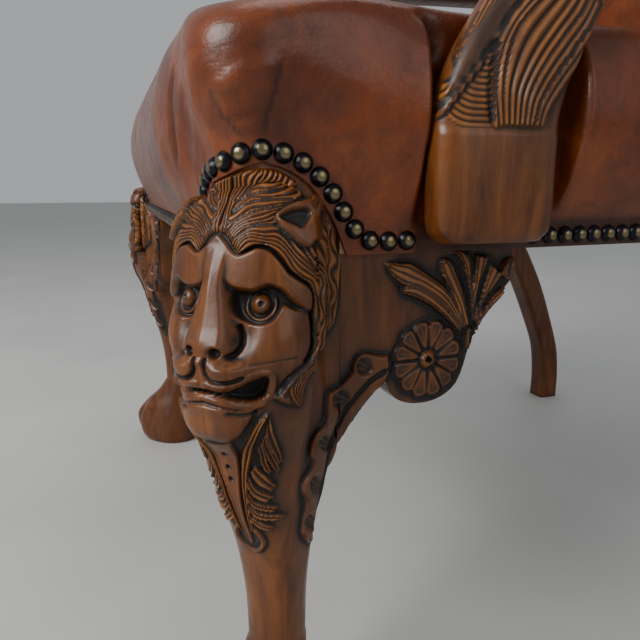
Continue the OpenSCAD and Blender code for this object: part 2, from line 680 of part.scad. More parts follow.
// Height of the flat nailed band above the hem, taller at the foot of an arch
function band_at(d) = nail_band + 14 * (1 - smooth(abs(d - arch_w - 4) / 26));
function top_drop(s) = 14 * smooth((s - 0.7 * seat_d) / (0.25 * seat_d));
// The cushion slopes off towards its front corners
function corner_drop(d) = 14 * (1 - smooth(d / 70));
function front_station(x) =
    let (d = seat_w / 2 - x)
    [x, front_y, 0, -1, hem_at(d, front_dip), front_swell * corner_calm(d), corner_drop(d), band_at(d)];
function turn_station(a) =
    let (s = corner_r * (1 - cos(a)))
    [min(seat_w / 2 - corner_r + corner_r * sin(a), half_at(s)), front_y + s, sin(a), -cos(a),
        hem_at(corner_r * 0.43, dip_at(a)), (front_swell * cos(a) + side_swell * sin(a)) * 0.36,
        corner_drop(0), nail_band];
function side_station(s) =
    [half_at(s), front_y + s, cos(taper), sin(taper), hem_at(s),
        side_swell * corner_calm(s) * beside_support(s) * smooth((rear_face - front_y - s + 50) / 120),
        top_drop(s) + corner_drop(s), band_at(s)];
function rear_station(x) = [x, front_y + rear_s, 0, 1, hem_z, 2, top_drop(rear_s), nail_band];
side_stops = [32, 41, 48, 54, 60, 72, 90, 102, 140, 188, 198, 212, 245, 300, 370, 440, 500];
half_stations = concat(
    [for (k = [0:4]) front_station(k / 5 * (seat_w / 2 - 55))],
    [for (d = [60, 54, 47, 40, 30]) front_station(seat_w / 2 - d)],
    [for (a = [0:18:90]) turn_station(a)],
    [for (s = side_stops) side_station(s * rear_s / 552)],
    [for (k = [3:-1:0]) rear_station(k / 3 * half_at(rear_s))]);
function mirrored(list) = concat(list,
    [for (i = [len(list) - 2:-1:1]) let (p = list[i]) [-p[0], p[1], -p[2], p[3], p[4], p[5], p[6], p[7]]]);
// Each wall ring is [share of the height above the nailed band, share of the swell]
wall = [[-1, 0], [0, 0.02], [0.3, 0.68], [0.54, 1], [0.78, 0.86], [1, 0.3]];
dome = [0.93, 0.8, 0.55, 0.25];
// Rings of a cushion: a swelling wall from the hem, then a dome; inner pulls it in by a thickness
function wall_ring(st, w, top, inner) = [for (p = st)
    let (o = seat_gap + leather + p[5] * w[1] - inner, low = inner * smooth(w[0] * 1.4 - 0.4))
    let (band = p[4] + p[7], z = w[0] < 0 ? p[4] : band + (top - p[6] - band) * w[0])
    [p[0] + p[2] * o, p[1] + p[3] * o, z - low]];
function dome_ring(st, rho, mid, top, crown, inner) = [for (p = st)
    [p[0] * rho, mid + (p[1] - mid) * rho,
        top - p[6] * rho + (crown - top) * (1 - pow(rho, 4)) - inner]];
function cushion(st, mid, top, crown, inner) = concat([for (w = wall) wall_ring(st, w, top, inner)],
    [for (rho = dome) dome_ring(st, rho, mid, top, crown, inner)]);
seat_stations = mirrored(half_stations);
seat_mid = front_y + rear_s / 2;
seat_edge = rail_top + 53;
deck_z = rail_top + 2 * web_t + cloth_t;
module post_space() {
    both_sides() translate([rear_half - seat_gap, rear_face - seat_gap, 0])
        cube([seat_w, seat_d, rail_top + crown_h]);
}
module seat_cover() {
    color(hide) difference() {
        shell(cushion(seat_stations, seat_mid, seat_edge, rail_top + crown_h, 0),
            cushion(seat_stations, seat_mid, seat_edge, rail_top + crown_h, leather));
        post_space();
        support_screws(mortise_play);
    }
}
module seat_stuffing() {
    rings = cushion(seat_stations, seat_mid, seat_edge, rail_top + crown_h, leather + seat_gap);
    base = [for (p = rings[0]) [p[0], p[1], deck_z + seat_gap]];
    color(cloth) difference() {
        skin(concat([base], [for (j = [4:len(rings) - 1]) rings[j]]));
        post_space();
    }
}
module frame_outline(inset) {
    polygon([for (p = seat_stations) [p[0] - p[2] * inset, p[1] - p[3] * inset]]);
}
module seat_hessian() {
    color(cloth) difference() {
        translate([0, 0, rail_top + 2 * web_t]) linear_extrude(cloth_t) frame_outline(6);
        post_space();
    }
}
module seat_webbing() {
    long = rear_s - 12;
    color(cloth) {
        for (i = [-2:2]) translate([i * front_half * 0.37 - web_w / 2, front_y + 6, rail_top])
            cube([web_w, long, web_t]);
        for (i = [0:3]) {
            s = rear_s * (0.17 + 0.2 * i);
            translate([6 - half_at(s + web_w), front_y + s, rail_top + web_t])
                cube([2 * (half_at(s + web_w) - 6), web_w, web_t]);
        }
    }
}
nail_lift = 7;
function on_hem(p, z) = let (o = seat_gap * 2.4 + leather + p[5] * 0.02)
    [p[0] + p[2] * o, p[1] + p[3] * o, z, atan2(p[3], p[2])];
// Nail line over an arch: the hem's line moved out square to itself, down to the straight row
foot_rise = 1.25 * nail_d;
foot_run = 1.85 * nail_d;
// The row bends from the arch's last spot q into the straight row at height z
function row_foot(q, z) =
    let (corner = [q[0] + 0.55 * (q[1] - z), z], end = [q[0] + foot_run, z])
    [for (t = [0.25:0.25:1]) (1 - t) ^ 2 * q + 2 * t * (1 - t) * corner + t ^ 2 * end];
function arch_spot(d, dip) =
    let (m = unit([hem_at(d - 1, dip) - hem_at(d + 1, dip), 2]))
    [d + nail_lift * m[0], hem_at(d, dip) + nail_lift * m[1]];
function arch_spots(dip) = [for (k = [0.42:0.04:0.98])
    let (q = arch_spot(arch_w * k, dip)) if (q[1] > hem_z + nail_lift + foot_rise) q];
module seat_nails() {
    stop = support_s - support_w / 2;
    start = support_s + support_w / 2;
    z = hem_z + nail_lift;
    front_arch = arch_spots(front_dip);
    side_arch = arch_spots(0);
    front_spots = concat(front_arch, row_foot(front_arch[len(front_arch) - 1], z));
    side_spots = concat(side_arch, row_foot(side_arch[len(side_arch) - 1], z));
    color(antique_brass) both_sides() {
        nail_row(concat([on_hem(front_station(0), z)],
            [for (i = [len(front_spots) - 1:-1:0]) let (q = front_spots[i])
                on_hem(front_station(seat_w / 2 - q[0]), q[1])],
            [for (a = [15:15:75]) let (st = turn_station(a)) on_hem(st, st[4] + nail_lift)],
            [for (q = side_spots) on_hem(side_station(q[0]), q[1])],
            [on_hem(side_station(stop), z)]));
        nail_row([for (s = [start, seat_d - rear_leg_t - nail_d / 2]) on_hem(side_station(s), z)]);
        nail_row([for (x = [0, rear_half - nail_d / 2]) on_hem(rear_station(x), z)]);
    }
}
dust_inset = bracket_t + 1;
module dust_cover() {
    y0 = front_y + dust_inset;
    y1 = front_y + rear_s - 6;
    color("#2b2622") difference() {
        translate([0, 0, rail_bottom - cloth_t]) linear_extrude(cloth_t)
            polygon([[-side_x(y0, dust_inset), y0], [side_x(y0, dust_inset), y0],
                [side_x(y1, dust_inset), y1], [-side_x(y1, dust_inset), y1]]);
        both_sides() translate([front_half - seat_gap, front_y, 0])
            cube([2 * stile, stile + seat_gap, rail_top]);
        post_space();
    }
}
tack_d = 6;
module tack() {
    translate([0, 0, rail_bottom - cloth_t - 1]) cylinder(d = tack_d, h = 1);
}
module dust_cover_tacks() {
    count = 9;
    in = (dust_inset + rail_t) / 2;
    color(antique_brass) for (i = [0:count - 1]) {
        k = 2 * i / (count - 1) - 1;
        translate([k * (front_half - 12), front_y + in, 0]) tack();
        translate([k * (rear_half - 12), rear_face + rail_t / 2, 0]) tack();
        s = stile + 12 + (seat_d - rear_leg_t - stile - 24) * i / (count - 1);
        both_sides() translate([side_x(front_y + s, in), front_y + s, 0]) tack();
    }
}

// Back upholstery, drawn flat with its height towards +z and then stood up
back_corner = 14;
back_low = back_gap - 3;
skin_half = back_half + seat_gap;
back_hem = -rear_leg_t / 2;
back_edge = rear_leg_t / 2 + 16;
crest_swell = 6;
function back_station(x, v, nx, nv) =
    [x, v, nx, nv, back_hem, back_swell + (crest_swell - back_swell) * max(nv, 0), 0, nail_band];
function crest_turn(x) = let (d = (crest_v(x + 1) - crest_v(x - 1)) / 2) unit([-d, 1]);
back_half_stations = concat(
    [for (k = [0:3]) back_station(k / 4 * (back_half - back_corner), back_low, 0, -1)],
    [for (a = [0:45:90]) back_station(back_half - back_corner + back_corner * sin(a),
        back_low + back_corner * (1 - cos(a)), sin(a), -cos(a))],
    [for (k = [1:8]) back_station(back_half, back_low + (crest_v(back_half) - back_low) * k / 9, 1, 0)],
    [back_station(back_half, crest_v(back_half) - 10, 1, 0),
        back_station(back_half - 3, crest_v(back_half) - 2, sin(45), cos(45))],
    [for (k = [10:-1:0]) let (x = k / 10.6 * back_half, n = crest_turn(x))
        back_station(x, crest_v(x), n[0], n[1])]);
back_stations = mirrored(back_half_stations);
back_mid = (back_low + back_h) / 2;
back_crown = rear_leg_t / 2 + back_pad;
module lay_back() {
    on_back() rotate([90, 0, 0]) children();
}
module back_posts() {
    both_sides() on_back() translate([rear_half - seat_gap, -rear_leg_t / 2 - seat_gap, 0])
        cube([2 * rear_leg_t, 2 * rear_leg_t, back_low + back_corner + 1]);
}
module back_cover() {
    color(hide) difference() {
        lay_back() shell(cushion(back_stations, back_mid, back_edge, back_crown, 0),
            cushion(back_stations, back_mid, back_edge, back_crown, leather));
        back_posts();
        arm_screw_line(mortise_play);
    }
}
back_deck = rear_leg_t / 2 + 2 * web_t + cloth_t;
module back_stuffing() {
    rings = cushion(back_stations, back_mid, back_edge, back_crown, leather + seat_gap);
    base = [for (p = rings[4]) [p[0], p[1], back_deck + seat_gap]];
    color(cloth) lay_back() skin(concat([base], [for (j = [5:len(rings) - 1]) rings[j]]));
}
module back_outline(inset) {
    polygon([for (p = back_stations) [p[0] - p[2] * inset, p[1] - p[3] * inset]]);
}
module back_hessian() {
    color(cloth) lay_back() translate([0, 0, back_deck - cloth_t]) linear_extrude(cloth_t) back_outline(8);
}
module back_webbing() {
    tall = back_h - 40 - back_gap;
    color(cloth) lay_back() translate([0, 0, rear_leg_t / 2]) {
        for (i = [-1:1]) translate([i * rear_half * 0.5 - web_w / 2, back_gap + 6, 0])
            cube([web_w, tall, web_t]);
        for (i = [0:3]) translate([6 - back_half, back_gap + back_h * (0.14 + 0.19 * i), web_t])
            cube([2 * (back_half - 6), web_w, web_t]);
    }
}
module outside_back_cover() {
    color(hide) lay_back() translate([0, 0, back_hem - leather - seat_gap])
        linear_extrude(leather) back_outline(-seat_gap - leather);
}
module back_nails() {
    color(antique_brass) on_back() both_sides()
        nail_row([for (p = back_half_stations)
            [p[0] - p[2] * nail_inset, rear_leg_t / 2 + leather + seat_gap, p[1] - p[3] * nail_inset, 90]]);
}

front_leg_left();
front_leg_right();
rear_leg_left();
rear_leg_right();
front_rail();
rear_rail();
side_rail_left();
side_rail_right();
front_bracket_left();
front_bracket_right();
side_bracket_left();
side_bracket_right();
corner_blocks();
corner_screws();
seat_webbing();
seat_hessian();
seat_stuffing();
seat_cover();
seat_nails();
dust_cover();
dust_cover_tacks();
arm_support_left();
arm_support_right();
arm_left();
arm_right();
arm_support_screws();
arm_dowels();
arm_screws();
arm_pad_left();
arm_pad_right();
arm_pad_nails();
crest_rail();
back_lower_rail();
back_webbing();
back_hessian();
back_stuffing();
back_cover();
outside_back_cover();
back_nails();
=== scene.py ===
"""Carved open armchair with lion-mask legs and nailed leather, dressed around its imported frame."""
import math

import bpy
import numpy as np
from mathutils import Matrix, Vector
from mathutils.geometry import delaunay_2d_cdt


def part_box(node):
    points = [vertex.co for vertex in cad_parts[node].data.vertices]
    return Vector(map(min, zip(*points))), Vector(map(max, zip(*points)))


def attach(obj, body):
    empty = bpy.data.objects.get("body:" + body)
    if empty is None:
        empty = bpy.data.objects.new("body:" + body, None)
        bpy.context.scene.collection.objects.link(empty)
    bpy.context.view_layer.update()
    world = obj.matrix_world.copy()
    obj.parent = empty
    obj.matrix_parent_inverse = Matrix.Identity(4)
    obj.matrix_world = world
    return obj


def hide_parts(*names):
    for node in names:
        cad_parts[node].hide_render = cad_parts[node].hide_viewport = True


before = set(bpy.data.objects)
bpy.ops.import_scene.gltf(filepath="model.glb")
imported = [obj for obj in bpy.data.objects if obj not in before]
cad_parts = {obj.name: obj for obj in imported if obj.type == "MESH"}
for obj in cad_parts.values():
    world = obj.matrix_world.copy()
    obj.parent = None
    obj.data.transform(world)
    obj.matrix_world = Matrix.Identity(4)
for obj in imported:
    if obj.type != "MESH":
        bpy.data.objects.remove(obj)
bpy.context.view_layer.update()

rng = np.random.default_rng(7)

# All shapes are worked out in millimetres in the row frame and written in metres
MM = 0.001
SEAT_W = 620.0
SEAT_D = 565.0
TAPER = math.radians(2.0)
STILE = 60.0
RAIL_TOP = 405.0
RAIL_BOTTOM = 337.0
RAIL_T = 32.0
REAR_LEG_T = 45.0
POST_S = SEAT_D - REAR_LEG_T / 2
FRONT_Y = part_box("front_rail")[0].y / MM
REAR_FACE = FRONT_Y + SEAT_D - REAR_LEG_T
RAKE = math.radians(12.0)
BACK_H = 620.0


def half_at(s):
    """Half the width of the seat frame at a distance s behind the front rail's face."""
    return SEAT_W / 2 - s * math.tan(TAPER)


# Curves and small helpers
def smooth(u):
    """Rises from 0 to 1 with no kink as u does, and stays there outside."""
    u = np.clip(u, 0, 1)
    return u * u * (3 - 2 * u)


def curve(x, table):
    """Smooth curve through the [position, value] pairs of a table."""
    table = np.asarray(table, float)
    place, value = table[:, 0], table[:, 1]
    x = np.asarray(x, float)
    last = len(place) - 1
    k = np.arange(last + 1)
    low, high = np.maximum(k - 1, 0), np.minimum(k + 1, last)
    slope = (value[high] - value[low]) / (place[high] - place[low])
    i = np.clip(np.searchsorted(place, x, side="left") - 1, 0, last - 1)
    w = place[i + 1] - place[i]
    u = np.clip((x - place[i]) / w, 0, 1)
    rise = (3 * u**2 - 2 * u**3) * (value[i + 1] - value[i]) + value[i]
    return rise + (u**3 - 2 * u**2 + u) * slope[i] * w + (u**3 - u**2) * slope[i + 1] * w


def length_of(points):
    """Length of the straight lines through a row of points."""
    return np.linalg.norm(np.diff(np.asarray(points, float), axis=0), axis=1).sum()


def distances(points):
    """Running distance along a row of points, from 0."""
    return np.concatenate([[0], np.cumsum(np.linalg.norm(np.diff(points, axis=0), axis=1))])


def through(points, count):
    """Evenly spaced points on a smooth line through a few control points."""
    p = np.asarray(points, float)
    n = len(p) - 1
    t = np.linspace(0, n, 40 * n + 1)
    i = np.minimum(t.astype(int), n - 1)
    u = (t - i)[:, None]
    a, b = p[np.maximum(i - 1, 0)], p[i]
    c, d = p[i + 1], p[np.minimum(i + 2, n)]
    line = b + u * (c - a) / 2 + u**2 * (a - 2.5 * b + 2 * c - d / 2) + u**3 * (1.5 * (b - c) + (d - a) / 2)
    run = distances(line)
    at = np.linspace(0, run[-1], count)
    return np.stack([np.interp(at, run, line[:, k]) for k in range(p.shape[1])], axis=1)


def power_radius(c, s, a, b, n):
    """Radius of a rounded box of half sizes a and b in the direction c, s: a higher n is squarer."""
    return ((np.abs(c) / a) ** n + (np.abs(s) / b) ** n) ** (-1 / n)


def merged(a, b):
    """The higher of two forms, with a rounded crease between them."""
    soft = 1.2
    return (a + b + np.sqrt((a - b) ** 2 + soft**2) - soft) / 2


def hump(x, y, x0, y0, rx, ry, rise):
    """Smooth swelling with its centre at x0, y0."""
    return rise * np.exp(-(((x - x0) / rx) ** 2) - ((y - y0) / ry) ** 2)


def enclosed(x, y, outline):
    """Which points lie inside a closed outline."""
    odd = np.zeros(x.shape, bool)
    for (x0, y0), (x1, y1) in zip(outline, np.roll(outline, -1, axis=0)):
        if y0 != y1:
            odd ^= ((y < y0) != (y < y1)) & (x < (x1 - x0) * (y - y0) / (y1 - y0) + x0)
    return odd


# Relief: the height of carving over a flat chart, cut by strokes and raised regions
BEAD, SOFT = "bead", "soft"


class Relief:
    """A drawing of carving: its height, hollows and strands on a grid of points pitch apart."""

    pitch = 0.4

    def __init__(self, x_range, y_range):
        self.x0, self.y0 = x_range[0], y_range[0]
        xs = np.arange(x_range[0], x_range[1], self.pitch)
        ys = np.arange(y_range[0], y_range[1], self.pitch)
        self.X, self.Y = np.meshgrid(xs, ys)
        self.height = np.zeros_like(self.X)
        self.phase = np.zeros_like(self.X)
        self.ridged = np.zeros_like(self.X)

    def layer(self):
        """An empty layer of the chart's size."""
        return np.zeros_like(self.X)

    def _windows(self, line, reach):
        """The cells near each point of a line, with their squared distances from it."""
        rows, cols = self.X.shape
        for k, (x, y) in enumerate(line):
            i, j = int((x - self.x0) / self.pitch), int((y - self.y0) / self.pitch)
            left, right = max(i - reach, 0), min(i + reach + 2, cols)
            low, high = max(j - reach, 0), min(j + reach + 2, rows)
            if left < right and low < high:
                part = (slice(low, high), slice(left, right))
                yield k, part, (self.X[part] - x) ** 2 + (self.Y[part] - y) ** 2

    def stroke(self, layer, points, width, rise, profile=SOFT, taper=0.12):
        """Raises a smooth line through points on a layer: width is half its breadth."""
        count = max(int(length_of(points) / (self.pitch * 1.3)), 4)
        line = through(points, count) if len(points) > 1 else np.asarray(points, float)
        t = np.linspace(0, 1, len(line))
        thin = np.minimum(smooth(t / taper + 0.15), smooth((1 - t) / taper + 0.15))
        wide = width * (0.45 + 0.55 * thin)
        tall = rise * thin
        for k, part, d2 in self._windows(line, int(np.max(wide) / self.pitch) + 1):
            q = np.clip(1 - d2 / wide[k] ** 2, 0, 1)
            v = np.sqrt(q) if profile == BEAD else q * q * (3 - 2 * q)
            np.maximum(layer[part], tall[k] * v, out=layer[part])

    def strands(self, layer, first, last, count, rise, rim=False, base=0.0, wave=0.0):
        """Fills the strip between two guide lines with strands that run along them."""
        step = 0.4 * self.pitch
        rows = int(max(length_of(first), length_of(last)) / step) + 4
        a, b = through(first, rows), through(last, rows)
        across = int(np.linalg.norm(a - b, axis=1).max() / step) + 4
        share = np.linspace(0, 1, across)
        x = a[:, :1] + (b - a)[:, :1] * share
        y = a[:, 1:] + (b - a)[:, 1:] * share
        i = np.round((x - self.x0) / self.pitch).astype(int)
        j = np.round((y - self.y0) / self.pitch).astype(int)
        high, wide = self.X.shape
        sway = wave * np.sin(0.29 * x + 0.21 * y) * np.sin(0.16 * y - 0.11 * x + 1) * 4 * share * (1 - share)
        phase = share * count + (0.5 if rim else 0) + sway
        ok = (i >= 0) & (i < wide) & (j >= 0) & (j < high)
        cell = j[ok] * wide + i[ok]
        number = np.bincount(cell, minlength=high * wide).reshape(high, wide)
        total = np.bincount(cell, phase[ok], minlength=high * wide).reshape(high, wide)
        hit = number > 0
        self.phase[hit] = total[hit] / number[hit]
        self.ridged[hit] = 1
        layer[hit] = base + rise * np.abs(np.sin(np.pi * self.phase[hit])) ** 0.8

    def edge_distance(self, outline, reach):
        """Distance of each place from a closed line of points, up to reach."""
        p = np.vstack([outline, outline[:1]])
        run = distances(p)
        at = np.arange(0, run[-1], self.pitch * 1.2)
        line = np.stack([np.interp(at, run, p[:, k]) for k in range(2)], axis=1)
        far = np.full(self.X.shape, reach * reach, float)
        for _, part, d2 in self._windows(line, int(reach / self.pitch) + 1):
            np.minimum(far[part], d2, out=far[part])
        return np.sqrt(far)

    def region(self, outline, edge):
        """Share from 0 at the rim to 1 inside a closed outline, rounded over the width edge."""
        p = np.asarray(outline, float)
        line = through(np.vstack([p, p[:1]]), 12 * len(p))
        d = np.where(enclosed(self.X, self.Y, line), self.edge_distance(line, edge), 0) / edge
        return np.sqrt(np.clip(1 - (1 - d) ** 2, 0, 1))

    def cells(self, x, y):
        """Places of points on the chart, counted in cells and kept inside it."""
        rows, cols = self.X.shape
        u = np.clip((x - self.x0) / self.pitch, 0, cols - 1.001)
        return u, np.clip((y - self.y0) / self.pitch, 0, rows - 1.001)

    def sample(self, layer, x, y):
        """Value of a layer at points, straight between its cells."""
        u, v = self.cells(x, y)
        i, j = u.astype(int), v.astype(int)
        fu, fv = u - i, v - j
        top = layer[j, i] * (1 - fu) + layer[j, i + 1] * fu
        bottom = layer[j + 1, i] * (1 - fu) + layer[j + 1, i + 1] * fu
        return top * (1 - fv) + bottom * fv

    def strand_at(self, x, y):
        """Phase and presence of strands at points: straight between cells, except across a seam."""
        u, v = self.cells(x, y)
        near = self.phase[np.round(v).astype(int), np.round(u).astype(int)]
        between = self.sample(self.phase, x, y)
        same = self.sample(self.ridged, x, y) > 0.999
        smooth_here = same & (np.abs(between - near) < 0.4)
        return np.where(smooth_here, between, near), np.where(same, 1.0, 0.0)

    def hollows(self, wide=1.8, depth=0.9):
        """How far each place lies below what is around it, from -1 on ridges to 1 in grooves."""
        near = blur(self.height, int(wide / self.pitch))
        broad = blur(self.height, int(4 * wide / self.pitch))
        return np.clip((near - self.height) / depth + 0.35 * (broad - self.height) / depth, -1, 1)


def blur(layer, reach):
    """A layer averaged twice along each axis over reach cells to both sides."""
    for axis in (0, 1):
        for _ in range(2):
            pad = [(reach + 1, reach) if k == axis else (0, 0) for k in (0, 1)]
            total = np.cumsum(np.pad(layer, pad, mode="edge"), axis=axis)
            size = 2 * reach + 1
            if axis == 0:
                layer = (total[size:] - total[:-size]) / size
            else:
                layer = (total[:, size:] - total[:, :-size]) / size
    return layer


# Meshes
def grid_faces(rows, cols, start=0):
    """Quads between closed rings of points, which are numbered from start."""
    i, j = np.meshgrid(np.arange(cols), np.arange(rows - 1))
    k = (i + 1) % cols
    quads = np.stack([j * cols + i, j * cols + k, (j + 1) * cols + k, (j + 1) * cols + i], axis=-1)
    return quads.reshape(-1, 4) + start


def fan_faces(ring, centre, turn=False):
    """Triangles from a ring of points to the point at its centre."""
    ring = np.asarray(ring)
    nxt = np.roll(ring, -1)
    a, b = (ring, nxt) if turn else (nxt, ring)
    return np.stack([np.full(len(ring), centre), b, a], axis=1)


def build_mesh(name, points, quads, tris, attributes=None):
    """Smooth mesh in metres from points in millimetres, with one value per point in each attribute."""
    points = np.asarray(points, float).reshape(-1, 3) * MM
    mesh = bpy.data.meshes.new(name)
    mesh.vertices.add(len(points))
    mesh.vertices.foreach_set("co", points.astype(np.float32).ravel())
    corners = np.concatenate([quads.ravel(), tris.ravel()])
    mesh.loops.add(len(corners))
    mesh.loops.foreach_set("vertex_index", corners.astype(np.int32))
    mesh.polygons.add(len(quads) + len(tris))
    starts = np.concatenate([np.arange(len(quads)) * 4, len(quads) * 4 + np.arange(len(tris)) * 3])
    mesh.polygons.foreach_set("loop_start", starts.astype(np.int32))
    mesh.polygons.foreach_set("use_smooth", np.ones(len(starts), bool))
    mesh.update(calc_edges=True)
    attributes = dict(attributes or {})
    if "strand" in attributes:
        calm_seams(mesh, attributes)
    for key, values in attributes.items():
        layer = mesh.attributes.new(key, "FLOAT", "POINT")
        layer.data.foreach_set("value", np.asarray(values, np.float32).ravel())
    mesh.validate()
    return mesh


def calm_seams(mesh, attributes):
    """Drops the strand lines where two bundles of strands meet, and paints a dark line of shade there."""
    edges = np.zeros(len(mesh.edges) * 2, np.int32)
    mesh.edges.foreach_get("vertices", edges)
    a, b = edges.reshape(-1, 2).T
    strand = np.ravel(attributes["strand"])
    ridged = np.ravel(attributes["ridged"]).copy()
    both = (ridged[a] > 0.5) & (ridged[b] > 0.5)
    jump = both & (np.abs(strand[a] - strand[b]) > 0.75)
    dark = np.ravel(attributes["cavity"]).copy()
    # A painted line of shade where two bundles of strands meet
    for end in (a, b):
        ridged[end[jump]] = 0
        dark[end[jump]] = np.maximum(dark[end[jump]], 0.55)
    attributes["ridged"] = ridged
    attributes["cavity"] = dark


def piece(name, mesh, material, nodes):
    """A visual piece that rides on the chair in place of the CAD nodes."""
    obj = bpy.data.objects.new(name, mesh)
    bpy.context.scene.collection.objects.link(obj)
    obj.data.materials.append(material)
    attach(obj, "root")
    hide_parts(*nodes)
    return obj


def mirrored_mesh(mesh, name):
    """The same mesh on the other side of the chair."""
    other = mesh.copy()
    other.name = name
    co = np.zeros(len(other.vertices) * 3, np.float32)
    other.vertices.foreach_get("co", co)
    co[0::3] *= -1
    other.vertices.foreach_set("co", co)
    other.flip_normals()
    other.update()
    return other


def both_sides(name, mesh, material, node):
    """A piece on the sitter's left and its mirrored twin, each in place of its own node."""
    left = piece(name + "_left", mesh, material, [node + "_left"])
    right = piece(name + "_right", mirrored_mesh(mesh, name + "_right"), material, [node + "_right"])
    return left, right


def carved(dark, strand, ridged):
    """Attributes of carved wood: stain and painted shade in its hollows, wear on its edges, and its strands.
    """
    return {"cavity": np.clip(dark, 0, 1), "edge": np.clip(-dark, 0, 1), "strand": strand, "ridged": ridged}


def skin_parts(P, start=0, flip=False):
    """Points, quads and triangles over a stack of rings closed at both ends, numbered from start."""
    rows, cols = P.shape[:2]
    points = np.vstack([P.reshape(-1, 3), P[0].mean(axis=0), P[-1].mean(axis=0)])
    ring, end = np.arange(cols) + start, start + rows * cols
    quads = grid_faces(rows, cols, start)
    tris = np.vstack([fan_faces(ring, end, True), fan_faces(ring + (rows - 1) * cols, end + 1)])
    return (points, quads[:, ::-1], tris[:, ::-1]) if flip else (points, quads, tris)


def closed_skin(name, P, attributes, flip=False):
    """Mesh over a stack of rings, closed at both ends."""
    values = {key: np.append(np.ravel(value), [0, 0]) for key, value in attributes.items()}
    return build_mesh(name, *skin_parts(P, 0, flip), values)


def grid_normals(P):
    """Directions straight out of a surface whose rows of points are closed rings."""
    du = np.roll(P, -1, axis=1) - np.roll(P, 1, axis=1)
    n = np.cross(du, np.gradient(P, axis=0))
    return n / np.maximum(np.linalg.norm(n, axis=2), 1e-9)[..., None]


# Node materials
class Finish:
    """A node material, built up from short calls."""

    def __init__(self, name):
        self.material = bpy.data.materials.new(name)
        self.material.use_nodes = True
        self.tree = self.material.node_tree
        self.shader = self.tree.nodes["Principled BSDF"]

    def put(self, socket, value):
        """Links another node's output to an input, or sets the input's value."""
        if isinstance(value, bpy.types.NodeSocket):
            self.tree.links.new(value, socket)
        else:
            socket.default_value = value

    def add(self, kind, inputs, output=0, **settings):
        """A node of a kind with its inputs set: returns one output."""
        node = self.tree.nodes.new(kind)
        for key, value in settings.items():
            setattr(node, key, value)
        for socket, value in inputs.items():
            self.put(node.inputs[socket], value)
        return node.outputs[output]

    def place(self, scale=(1, 1, 1), turn=(0, 0, 0)):
        """Object coordinates, scaled and turned."""
        at = self.tree.nodes.new("ShaderNodeTexCoord").outputs["Object"]
        return self.add("ShaderNodeMapping", {"Vector": at, "Scale": scale, "Rotation": turn})

    def noise(self, at, scale, detail=4, rough=0.5, warp=0):
        """Cloudy pattern from 0 to 1."""
        settings = {"Vector": at, "Scale": scale, "Detail": detail, "Roughness": rough, "Distortion": warp}
        return self.add("ShaderNodeTexNoise", settings)

    def cells(self, at, scale, feature):
        """Cell pattern: distance from the nearest cell's centre or edge, as its feature says."""
        inputs = {"Vector": at, "Scale": scale}
        return self.add("ShaderNodeTexVoronoi", inputs, "Distance", feature=feature)

    def ramp(self, share, stops):
        """Colour looked up between stops of place and colour."""
        out = self.add("ShaderNodeValToRGB", {"Fac": share})
        ramp = out.node.color_ramp
        while len(ramp.elements) < len(stops):
            ramp.elements.new(0.5)
        for element, (place, colour) in zip(ramp.elements, stops):
            element.position = place
            element.color = (*colour, 1)
        return out

    def mix(self, share, a, b):
        """Colour between a and b: share 0 gives a and share 1 gives b."""
        node = self.tree.nodes.new("ShaderNodeMix")
        node.data_type = "RGBA"
        for socket, value in ((0, share), (6, a), (7, b)):
            self.put(node.inputs[socket], (*value, 1) if isinstance(value, tuple) else value)
        return node.outputs[2]

    def sum(self, a, b, way="ADD", clamp=False):
        """Two values put together by one kind of sum."""
        return self.add("ShaderNodeMath", {0: a, 1: b}, operation=way, use_clamp=clamp)

    def scaled(self, value, low, high, to_low, to_high):
        """A value carried from one range over to another."""
        ends = {"Value": value, "From Min": low, "From Max": high, "To Min": to_low, "To Max": to_high}
        return self.add("ShaderNodeMapRange", ends)

    def attribute(self, name):
        """An attribute of the mesh by its name."""
        node = self.tree.nodes.new("ShaderNodeAttribute")
        node.attribute_name = name
        return node.outputs["Fac"]

    def bump(self, height, strength, distance, under=None):
        """Surface direction tilted by a height."""
        inputs = {"Height": height, "Strength": strength, "Distance": distance}
        if under is not None:
            inputs["Normal"] = under
        return self.add("ShaderNodeBump", inputs)

    def shade(self, **inputs):
        """Sets the shader's inputs, with _ for a space in their names, and gives the material."""
        for key, value in inputs.items():
            self.put(self.shader.inputs[key.replace("_", " ")], value)
        return self.material


